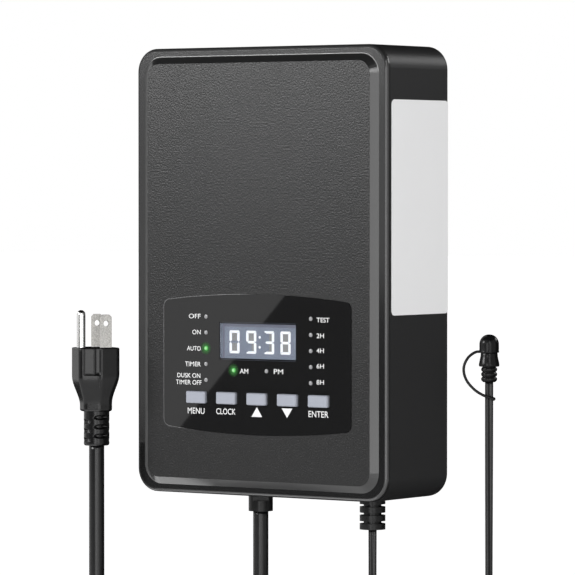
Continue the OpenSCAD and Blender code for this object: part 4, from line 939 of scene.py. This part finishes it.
class CordOperator(bpy.types.Operator):
    """Lays the mains cord and the sensor cord"""

    bl_idname = "transformer.cords"
    bl_label = "Cords"

    # Heights of each cord's points below its gland and below the plug or the sensor
    MAINS_DROP, MAINS_RISE = (-10.2, -30, -50, -70, -87.7), (-87.7, -65, -42, -19, 4, 25.3)
    SENSOR_DROP = (-16.8, -25, -35, -45, -55, -65, -75, -85, -95.6)
    SENSOR_RISE = (-95.6, -75, -55, -35, -15, 5, 25, 45, 65)
    # Each coil: height of its middle, turns, and how far it runs back or forward per turn
    MAINS_COIL, SENSOR_COIL = (-96, 5.5, 9.2), (-100, 4.5, 5)
    # How the flat cord is turned at its gland, in its coil and at the sensor, in degrees
    GLAND_TWIST, COIL_TWIST, SENSOR_TWIST = 144.7, 90.0, 50.0

    def execute(self, context):
        settings = context.scene.transformer_cords
        jacket = finish_of(
            "Cord jacket", settings.jacket, 0.25, 2600, 0.00001, mottle=0.08, spots=30,
            Specular_IOR_Level=0.31,
        )
        drop = [at(*MAINS_EXIT, z) for z in self.MAINS_DROP]
        rise = [at(*PLUG_PLACE, z) for z in self.MAINS_RISE]
        turns = coil(MAINS_EXIT, PLUG_PLACE[0], *self.MAINS_COIL)
        path = smooth_path(drop + turns + rise, 0.0035)
        section = disc(0, 0, settings.mains_width / MM / 2)
        mains = tube("mains_cord", path, section, Vector((0, 1, 0)), jacket)
        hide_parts("mains_cord_drop", "mains_cord_coil", "mains_cord_rise")
        self.sensor(settings, jacket)
        return {"FINISHED"}

    def sensor(self, settings, jacket):
        """The flat cord, which turns on its way down to the coil and up to the sensor."""
        wide, thin = settings.sensor_width / MM, settings.sensor_thickness / MM
        drop = [at(*SENSOR_EXIT, z) for z in self.SENSOR_DROP]
        rise = [at(*SENSOR_PLACE, z) for z in self.SENSOR_RISE]
        turns = coil(SENSOR_EXIT, SENSOR_PLACE[0], *self.SENSOR_COIL)
        down = smooth_path(drop + turns[:1], 0.003)
        round_about = smooth_path(turns, 0.002)
        upward = smooth_path(turns[-1:] + rise, 0.003)
        path = down[:-1] + round_about + upward[1:]
        first, last = self.COIL_TWIST - self.GLAND_TWIST, self.SENSOR_TWIST - self.COIL_TWIST
        twist = [self.GLAND_TWIST + first * i / (len(down) - 1) for i in range(len(down) - 1)]
        twist += [self.COIL_TWIST] * len(round_about)
        twist += [self.COIL_TWIST + last * i / (len(upward) - 1) for i in range(1, len(upward))]
        cord = tube("sensor_cord", path, self.twin(wide, thin), Vector((0, 1, 0)), jacket, twist=twist)
        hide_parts("sensor_cord_drop", "sensor_cord_coil", "sensor_cord_rise")

    def twin(self, wide, thin):
        """Two round cores side by side with a groove between them."""
        groove = 0.26 * thin
        lobe = arc((wide - thin) / 2, 0, thin / 2, -125, 125, 10)
        return [(0, -groove)] + lobe + [(0, groove)] + [(-a, -b) for a, b in lobe]


class TieOperator(bpy.types.Operator):
    """Wraps a strap round each coil"""

    bl_idname = "transformer.ties"
    bl_label = "Ties"

    def execute(self, context):
        strap = finish_of("Tie strap", (0.03, 0.03, 0.031), 0.7, 1800, 0.00008, mottle=0.15, spots=200)
        for node in ("mains_cord_tie", "sensor_cord_tie"):
            low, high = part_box(node)
            self.band(node, low / MM, high / MM, strap)
        return {"FINISHED"}

    def band(self, node, low, high, strap):
        """A strap with round corners and softened edges, as wide and tall as the node's box."""
        thick, radius, edge, softened = 1.4, 2.0, 0.5, 0.35
        middle, size = (low + high) / 2, high - low
        outer = ((0, softened), (edge, 0), (size.x - edge, 0), (size.x, softened))
        rows = outer + tuple((x, thick - sink) for x, sink in reversed(outer))
        points = []
        for x, sink in rows:
            outline = round_box(size.y - 2 * sink, size.z - 2 * sink, radius - sink, middle.z, 6)
            points += [Vector((low.x + x, middle.y + a, b)) * MM for a, b in outline]
        count = len(points) // len(rows)
        piece = solid(node + "_band", points, walls(len(rows), count, around=True), strap, smooth=True)
        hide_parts(node)


class PlugOperator(bpy.types.Operator):
    """Models the moulded plug with its grips and its sleeve, and finishes its prongs"""

    bl_idname = "transformer.plug"
    bl_label = "Plug"

    # How the plug is turned in degrees, the height of its foot, and its sleeve's radius and length
    TURN, FOOT, SLEEVE_R, SLEEVE_L = -30.0, 43.8, 6.95, 18.5
    # The body's corners, the share of its width at the ground pin, and where its flanks begin
    CORNER, NOSE_SHARE, SHOULDER_SHARE = 3.0, 0.62, 0.03
    # How far its middle lies before the prongs' middle where it is as deep as the second value
    OFFSET, OFFSET_DEPTH = -1.45, 22
    # The body widens as it rises: its size at the foot, what it gains, and between which heights
    WIDTH, NOSE, REAR = (16.9, 7.1, 3.0, 19.5), (15.2, 6.7, 3.0, 19.0), (15.2, 6.7, 5.0, 20.8)
    # Its rounded edges, as (height, how far they draw in)
    FOOT_EDGE = ((0.0, 1.2), (0.15, 0.7), (0.4, 0.35), (0.8, 0.1), (1.2, 0.0))
    TOP_EDGE = ((34.2, 0.08), (34.45, 0.25), (34.6, 0.55))
    # The flank's step is between these heights, with a panel and a groove above it and a fine line below.
    # Each starts, is full, and ends at these distances from the flank's edge, and is sunk this deep
    FLANK_STEP = (19.6, 20.2)
    PANEL, GROOVE, LINE = (0.4, 0.8, 6.2, 6.6), (6.3, 6.9, 9.2, 9.8), (8.2, 8.5, 8.9, 9.2)
    PANEL_DEEP, GROOVE_DEEP, LINE_DEEP = 0.45, 1.45, 0.5

    def execute(self, context):
        rubber = finish_of(
            "Moulded plug", (0.004, 0.004, 0.0042), 0.23, 1500, 0.00003, mottle=0.12, speckle=0.3,
            Specular_IOR_Level=0.24,
        )
        nickel = finish_of(
            "Nickel blade", (0.46, 0.45, 0.43), 0.42, 1700, 0.00005, mottle=0.22, spots=420, speckle=1.2,
            Metallic=1.0,
        )
        bright = finish_of("Bright pin", (0.68, 0.68, 0.67), 0.22, mottle=0.05, Metallic=1.0)
        dress(nickel, "plug_blades")
        dress(bright, "plug_ground_pin")
        self.body(rubber)
        return {"FINISHED"}

    def place(self, x, y, z):
        """A point of the plug, with the ground pin towards -y, in the frame's metres."""
        a, b = turned(x, y, self.TURN)
        return at(PLUG_PLACE[0] + a, PLUG_PLACE[1] + b, self.FOOT + z)

    def grown(self, size, z):
        """One of WIDTH, NOSE and REAR at a height."""
        first, more, low, high = size
        return first + more * ease(z, low, high)

    def ring(self, z, shrink=0.0):
        """The body's outline at a height: narrow at the ground pin, with grips sunk into its flanks."""
        width, nose, rear = (self.grown(size, z) for size in (self.WIDTH, self.NOSE, self.REAR))
        offset = self.OFFSET * (nose + rear) / 2 / self.OFFSET_DEPTH
        c, bends, steps = self.CORNER, 8, 20
        right = [
            (self.NOSE_SHARE * width / 2 - c, c - nose / 2), (width / 2 - c, self.SHOULDER_SHARE * rear),
            (width / 2 - c, rear / 2 - c),
        ]
        centres = right + [(-x, y) for x, y in reversed(right)]
        count = len(centres)
        points = []
        for i, (x, y) in enumerate(centres):
            before, after = centres[i - 1], centres[(i + 1) % count]
            a0 = math.atan2(-(x - before[0]), y - before[1])
            a1 = math.atan2(-(after[0] - x), after[1] - y)
            if a1 < a0:
                a1 += math.tau
            points += arc(x, y, c - shrink, math.degrees(a0), math.degrees(a1), bends)
            end = points[-1]
            across, up = math.cos(a1), math.sin(a1)
            start_next = (after[0] + (c - shrink) * across, after[1] + (c - shrink) * up)
            length = math.dist(end, start_next)
            for k in range(1, steps):
                t = k / steps
                sink = self.grip(i, t * length, length, z)
                run_x, run_y = (start_next[0] - end[0]) * t, (start_next[1] - end[1]) * t
                points.append((end[0] + run_x - sink * across, end[1] + run_y - sink * up))
        return [self.place(x, y + offset, z) for x, y in points]

    def grip(self, edge, run, length, z):
        """How deep one of the two flanks is sunk, this far along it and at this height."""
        if edge not in (0, 4):
            return 0.0
        if edge == 4:
            run = length - run
        panel, groove, line = (
            ease(run, *ends[:2]) - ease(run, *ends[2:]) for ends in (self.PANEL, self.GROOVE, self.LINE)
        )
        upper = ease(z, *self.FLANK_STEP)
        sunk = self.PANEL_DEEP * panel + self.GROOVE_DEEP * groove
        return upper * sunk + (1 - upper) * self.LINE_DEEP * line

    def body(self, rubber):
        """The moulded body, with a level of points wherever its flanks change, and its sleeve."""
        low, high = self.FOOT_EDGE[-1][0], 33.9
        step, stepped = self.FLANK_STEP
        before, after = step - 0.2, stepped + 0.2
        heights = [low + (before - low) * k / 34 for k in range(1, 35)]
        heights += [step + (stepped - step) * k / 4 for k in range(5)]
        heights += [after + (high - after) * k / 10 for k in range(1, 11)]
        heights = [*self.FOOT_EDGE, *((z, 0.0) for z in heights), *self.TOP_EDGE]
        rings = [self.ring(z, shrink) for z, shrink in heights]
        shell = skin("plug_shell", rings, rubber)
        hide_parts("plug_body")
        sleeve = skin("plug_sleeve", self.sleeve_rings(), rubber)
        keep_out_of_mirrors(shell, sleeve, *pieces("plug_blades", "plug_ground_pin"))

    def sleeve_rings(self):
        """The sleeve below the body, as rings from its foot up."""
        sides, rows, overlap, rounding = 72, 74, 1.0, 0.9
        rings = []
        for i in range(rows + 1):
            z = -self.SLEEVE_L + (self.SLEEVE_L + overlap) * i / rows
            edge = rounding - rounding * ease(z + self.SLEEVE_L, -0.8, 1.0)
            ring = []
            for k in range(sides):
                radius = self.SLEEVE_R - edge - self.notch(360 * k / sides, z)
                ring.append(self.place(*turned(radius, 0, 360 * k / sides), z))
            rings.append(ring)
        return rings

    def notch(self, angle, z):
        """Depth of the lens-shaped slots round the sleeve, in three staggered rows."""
        first, pitch, tall, half_angle, depth = -3.25, 5.0, 1.25, 33, 2.3
        deep = 0.0
        for side in range(4):
            off = abs((angle - 90 * side + 180) % 360 - 180)
            half = tall * math.sqrt(max(0.0, 1 - (off / half_angle) ** 2))
            for row in range(3):
                middle = first - pitch * (row + 0.5 * (side % 2))
                if half > 0:
                    deep = max(deep, depth * ease(half - abs(z - middle), -0.1, 0.45))
        return deep


class SensorOperator(bpy.types.Operator):
    """Finishes the light sensor and models the strap of its cap"""

    bl_idname = "transformer.sensor"
    bl_label = "Light sensor"

    # Height of the base's foot, and the strap's diameter
    BASE_FOOT, STRAP_WIDTH = 65.0, 1.45
    # The strap from the cap's crown round to its bead, as (right, towards the viewer, up)
    STRAP = (
        (-4.5, 0, 80.4), (-5.6, 0, 80.4), (-7.4, 0, 80), (-10.6, 0, 77.6), (-12.8, 0.2, 73.6),
        (-13, 0.6, 69.4), (-11.4, 1.2, 65.2), (-8.2, 2, 61.4), (-4.6, 2.8, 58.8), (-1, 3.3, 57.2),
        (2.2, 3.2, 56.2),
    )

    def execute(self, context):
        rubber = finish_of(
            "Sensor rubber", (0.004, 0.004, 0.0042), 0.24, 1800, 0.00001, mottle=0.1, speckle=0.15,
            Specular_IOR_Level=0.14,
        )
        self.cap_and_base(rubber)
        dress(finish_of("Light cell", (0.6, 0.25, 0.08), 0.3, 1200, 0.00002), "light_sensor")
        across, toward = (Vector((*turned(*way, VIEW_TURN), 0)) for way in ((1, 0), (0, -1)))
        foot = at(*SENSOR_PLACE, 0)
        points = [foot + (across * a + toward * b + Vector((0, 0, c))) * MM for a, b, c in self.STRAP]
        path = smooth_path(points, 0.0008)
        strap = tube("sensor_strap", path, disc(0, 0, self.STRAP_WIDTH / 2, 12), toward, rubber)
        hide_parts("sensor_tether")
        self.knob(path[-1], rubber)
        return {"FINISHED"}

    def cap_and_base(self, rubber):
        """The cap and the ribbed base, turned on the cord's own line."""
        rib = (
            (3.4, -1.25), (3.6, -1.05), (3.95, -0.75), (4.15, -0.3), (4.15, 0.3), (3.95, 0.75), (3.6, 1.05),
        )
        base = [(2.6, -0.3), (3.2, -0.25)]
        base += [(radius, middle + height) for middle in (1.25, 3.75, 6.25) for radius, height in rib]
        base += [
            (3.5, 7.5), (3.6, 7.7), (4.9, 7.75), (5.2, 7.9), (5.3, 8.2), (5.3, 8.7), (5.24, 9.3),
            (5.03, 10.3), (4.8, 11.4), (4.58, 12.4), (4.42, 13.4), (4.38, 14.5), (4.2, 14.8), (3.2, 14.9),
        ]
        skirt = turned_piece("sensor_ribbed_skirt", (*SENSOR_PLACE, self.BASE_FOOT), base, rubber)
        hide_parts("sensor_base")
        radius, straight, rise = 5.05, 4.3, 5.1
        dome = [(3.8, 0.02), (4.85, 0.0), (5.1, 0.15), (5.15, 0.45), (5.1, 0.75)]
        dome += [(radius, 1.0), (radius, straight)]
        for a in range(8, 89, 8):
            flat, up = math.cos(math.radians(a)) ** 0.88, math.sin(math.radians(a))
            dome.append((radius * flat, straight + rise * up))
        cap = turned_piece("sensor_dome", (*SENSOR_PLACE, self.BASE_FOOT + base[-1][1]), dome, rubber)
        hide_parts("sensor_cap")

    def knob(self, centre, rubber):
        """The bead at the strap's loose end."""
        rows, sides, radius = 7, 14, 1.0
        points = []
        for r in range(1, rows + 1):
            tilt = math.pi * r / (rows + 1)
            reach, height = radius * math.sin(tilt), radius * math.cos(tilt)
            points += [centre + Vector((a, b, height)) * MM for a, b in disc(0, 0, reach, sides)]
        faces = flipped(walls(rows, sides))
        top, base, last = len(points), len(points) + 1, len(points) - sides
        points += [centre + Vector((0, 0, radius)) * MM, centre - Vector((0, 0, radius)) * MM]
        for k in range(sides):
            m = (k + 1) % sides
            faces += [[top, k, m], [base, last + m, last + k]]
        bead = solid("sensor_strap_bead", points, faces, rubber, smooth=True)


class InsideOperator(bpy.types.Operator):
    """Finishes what the closed box holds"""

    bl_idname = "transformer.inside"
    bl_label = "Inside"

    # Each finish: its name, colour and roughness, and the nodes that have it
    PLAIN = (
        ("Circuit board", (0.02, 0.16, 0.06), 0.4, ("control_pcb", "power_pcb")),
        ("Black parts", (0.02, 0.02, 0.02), 0.5, ("control_chips", "tact_switches", "terminal_block")),
        ("Core steel", (0.25, 0.25, 0.27), 0.4, ("toroid_core",)),
        ("Rubber pad", (0.02, 0.02, 0.02), 0.8, ("toroid_pads",)),
        ("Relay base", (0.5, 0.22, 0.06), 0.4, ("relay_base",)),
        ("Relay case", (0.12, 0.22, 0.38), 0.2, ("relay_cover",)),
        ("Capacitor", (0.6, 0.4, 0.04), 0.3, ("filter_capacitor",)),
    )
    METAL = (
        ("Terminal brass", (0.70, 0.52, 0.24), 0.25, ("terminal_bars", "fuse_clips")),
        (
            "Terminal steel", (0.58, 0.58, 0.6), 0.3,
            (
                "terminal_clamp_a", "terminal_clamp_b", "terminal_screw_a", "terminal_screw_b",
                "relay_armature",
            ),
        ),
    )
    RED_D, BLACK_D = 4.0, 2.4
    # The winding's lowest height, and how far over it each lead starts, with its side and its x
    WOUND_LOW = 116
    SECONDARY_STARTS = (("left", 5, 0.04), ("right", 27, 6.35))
    PRIMARY_STARTS = (("left", -20.5, 3.66), ("right", -11.5, 0.98))
    # The leads' routes from there, as (y, z)
    SECONDARY = ((-30, 112), (-34.8, 104), (-38, 68), (-37.5, 36), (-36.5, 24), (-36.5, 20))
    PRIMARY = ((-17.4, 113.6), (-17.4, 106), (-15.4, 103.6), (-10.6, 103.6))
    # Each pair from a gland up to the power board: its x, how far it steps sideways, and how far it is apart
    INLETS, INLET_HALF = (("mains_lead_", MAINS_EXIT[0], 0), ("sensor_lead_", SENSOR_EXIT[0], 12)), 4.5
    # Its route, as (share of the sideways step, y, z)
    INLET = ((0, -30, 5.6), (0, -30, 10.4), (1, -20.3, 30), (1, -15.4, 32.4), (1, -10.6, 32.4))
    # The flat cable's middle and its route, as (y, z)
    RIBBON_X = -6
    RIBBON = (
        (-46.5, 43), (-46.5, 38), (-46.3, 34.2), (-44, 31.8), (-40, 31.5), (-31, 31.5), (-22, 31.5),
        (-18.6, 31.8), (-16.3, 34.2), (-16.1, 38), (-16.1, 42),
    )
    # Each header's middle height, its front and its back, and half of its width and height
    HEADERS = (("control_header", 43, -52, -47), ("power_header", 42, -15.6, -10.6))
    HEADER_HALF_W, HEADER_HALF_H = 8.5, 3

    def execute(self, context):
        for name, colour, roughness, nodes in self.PLAIN:
            dress(finish_of(name, colour, roughness, 1600, 0.00002), *nodes)
        for name, colour, roughness, nodes in self.METAL:
            dress(finish_of(name, colour, roughness, 900, 0.00001, Metallic=1.0), *nodes)
        self.winding(finish_of("Winding tape", (0.55, 0.34, 0.08), 0.3, 700, 0.00004, mottle=0.2))
        glass = finish_of(
            "Fuse glass", (0.9, 0.92, 0.93), 0.05, mottle=0.02, Transmission_Weight=1.0, IOR=1.45
        )
        dress(glass, "fuse_tube")
        self.leads()
        self.ribbon()
        return {"FINISHED"}

    def leads(self):
        """The red secondary leads, and the black ones from the glands and to the winding."""
        red = finish_of("Red lead", (0.45, 0.02, 0.015), 0.4, 2000, 0.00002)
        thick, thin = [], []
        for side, x, lift in self.SECONDARY_STARTS:
            route = [(self.SECONDARY[0][0], self.WOUND_LOW + lift), *self.SECONDARY]
            thick.append(self.lead("secondary_lead_" + side, self.RED_D, x, route, red))
        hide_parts("secondary_leads")
        black = finish_of("Black lead", (0.02, 0.02, 0.02), 0.4, 2000, 0.00002)
        for side, x, lift in self.PRIMARY_STARTS:
            route = [(self.PRIMARY[0][0], self.WOUND_LOW + lift), *self.PRIMARY]
            thin.append(self.lead("primary_lead_" + side, self.BLACK_D, x, route, black))
        for name, x, step in self.INLETS:
            route = [(y, z, -step * part) for part, y, z in self.INLET]
            for side, aside in (("left", -self.INLET_HALF), ("right", self.INLET_HALF)):
                thin.append(self.lead(name + side, self.BLACK_D, x + aside, route, black))
        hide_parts("internal_leads")

    def lead(self, name, diameter, x, route, material):
        """A round lead. route has (y, z), or (y, z, how far aside of x)."""
        path = smooth_path([at(x + sum(aside), y, z) for y, z, *aside in route], 0.0015)
        return tube(name, path, disc(0, 0, diameter / 2, 16), Vector((1, 0, 0)), material)

    def ribbon(self):
        """The flat cable between the boards, ribbed by its wires, with a header at each end."""
        grey = finish_of("Ribbon", (0.38, 0.38, 0.4), 0.5, 1600, 0.00002)
        thick, groove, half, wires = 0.5, 0.14, 7, 29
        side = [(thick - groove * (k % 2), k / 2 - half) for k in range(wires)]
        section = side + [(-a, -b) for a, b in side]
        path = smooth_path([at(self.RIBBON_X, y, z) for y, z in self.RIBBON], 0.0012)
        cable = tube("ribbon_flat_cable", path, section, Vector((1, 0, 0)), grey)
        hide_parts("ribbon_cable")
        black = bpy.data.materials["Black parts"]
        left, right = self.RIBBON_X - self.HEADER_HALF_W, self.RIBBON_X + self.HEADER_HALF_W
        for name, middle, front, back in self.HEADERS:
            low, high = middle - self.HEADER_HALF_H, middle + self.HEADER_HALF_H
            header = plates(name, [oblong(left, right, low, high)], front, back, black)

    def winding(self, tape):
        """The wound ring, whose tape is lapped round it so that each turn ends in a small step."""
        turns, step, lapped = 96, 0.25, 0.86
        wide, deep, corner, reach, middle_y, middle_z = 36, 40, 8, 34, -28.6, 168
        points = []
        for i in range(2 * turns):
            angle = math.tau * (i // 2 + lapped * (i % 2)) / turns
            inset = step * (1 - i % 2)
            for a, b in round_box(wide, deep, corner, 0, 6):
                out = reach + a * (1 - 2 * inset / wide)
                y = b * (1 - 2 * inset / deep) + middle_y
                points.append(at(out * math.sin(angle), y, out * math.cos(angle) + middle_z))
        count = len(points) // (2 * turns)
        ring = solid("taped_ring", points, walls(2 * turns, count, around=True), tape)
        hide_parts("toroid_winding")


class TransformerPanel(bpy.types.Panel):
    """Lists the settings and the steps"""

    bl_idname = "VIEW3D_PT_transformer"
    bl_label = "Low voltage transformer"
    bl_space_type = "VIEW_3D"
    bl_region_type = "UI"
    bl_category = "Transformer"

    def draw(self, context):
        for name in SETTINGS:
            group = getattr(context.scene, name)
            box = self.layout.box()
            for key in group.__annotations__:
                box.prop(group, key)
        for operator in OPERATORS:
            self.layout.operator(operator.bl_idname)


SETTINGS = {
    "transformer_box": BoxSettings,
    "transformer_panel": PanelSettings,
    "transformer_cords": CordSettings,
    "transformer_stage": StageSettings,
}
OPERATORS = (
    StageOperator, BoxOperator, PanelOperator, InsideOperator, PlugOperator, SensorOperator, TieOperator,
    CordOperator,
)


def register():
    for name, group in SETTINGS.items():
        bpy.utils.register_class(group)
        setattr(bpy.types.Scene, name, bpy.props.PointerProperty(type=group))
    for operator in OPERATORS:
        bpy.utils.register_class(operator)
    bpy.utils.register_class(TransformerPanel)


def unregister():
    bpy.utils.unregister_class(TransformerPanel)
    for operator in reversed(OPERATORS):
        bpy.utils.unregister_class(operator)
    for name, group in reversed(SETTINGS.items()):
        delattr(bpy.types.Scene, name)
        bpy.utils.unregister_class(group)


def main():
    register()
    for operator in OPERATORS:
        area, call = operator.bl_idname.split(".")
        getattr(getattr(bpy.ops, area), call)()


if __name__ == "__main__":
    main()
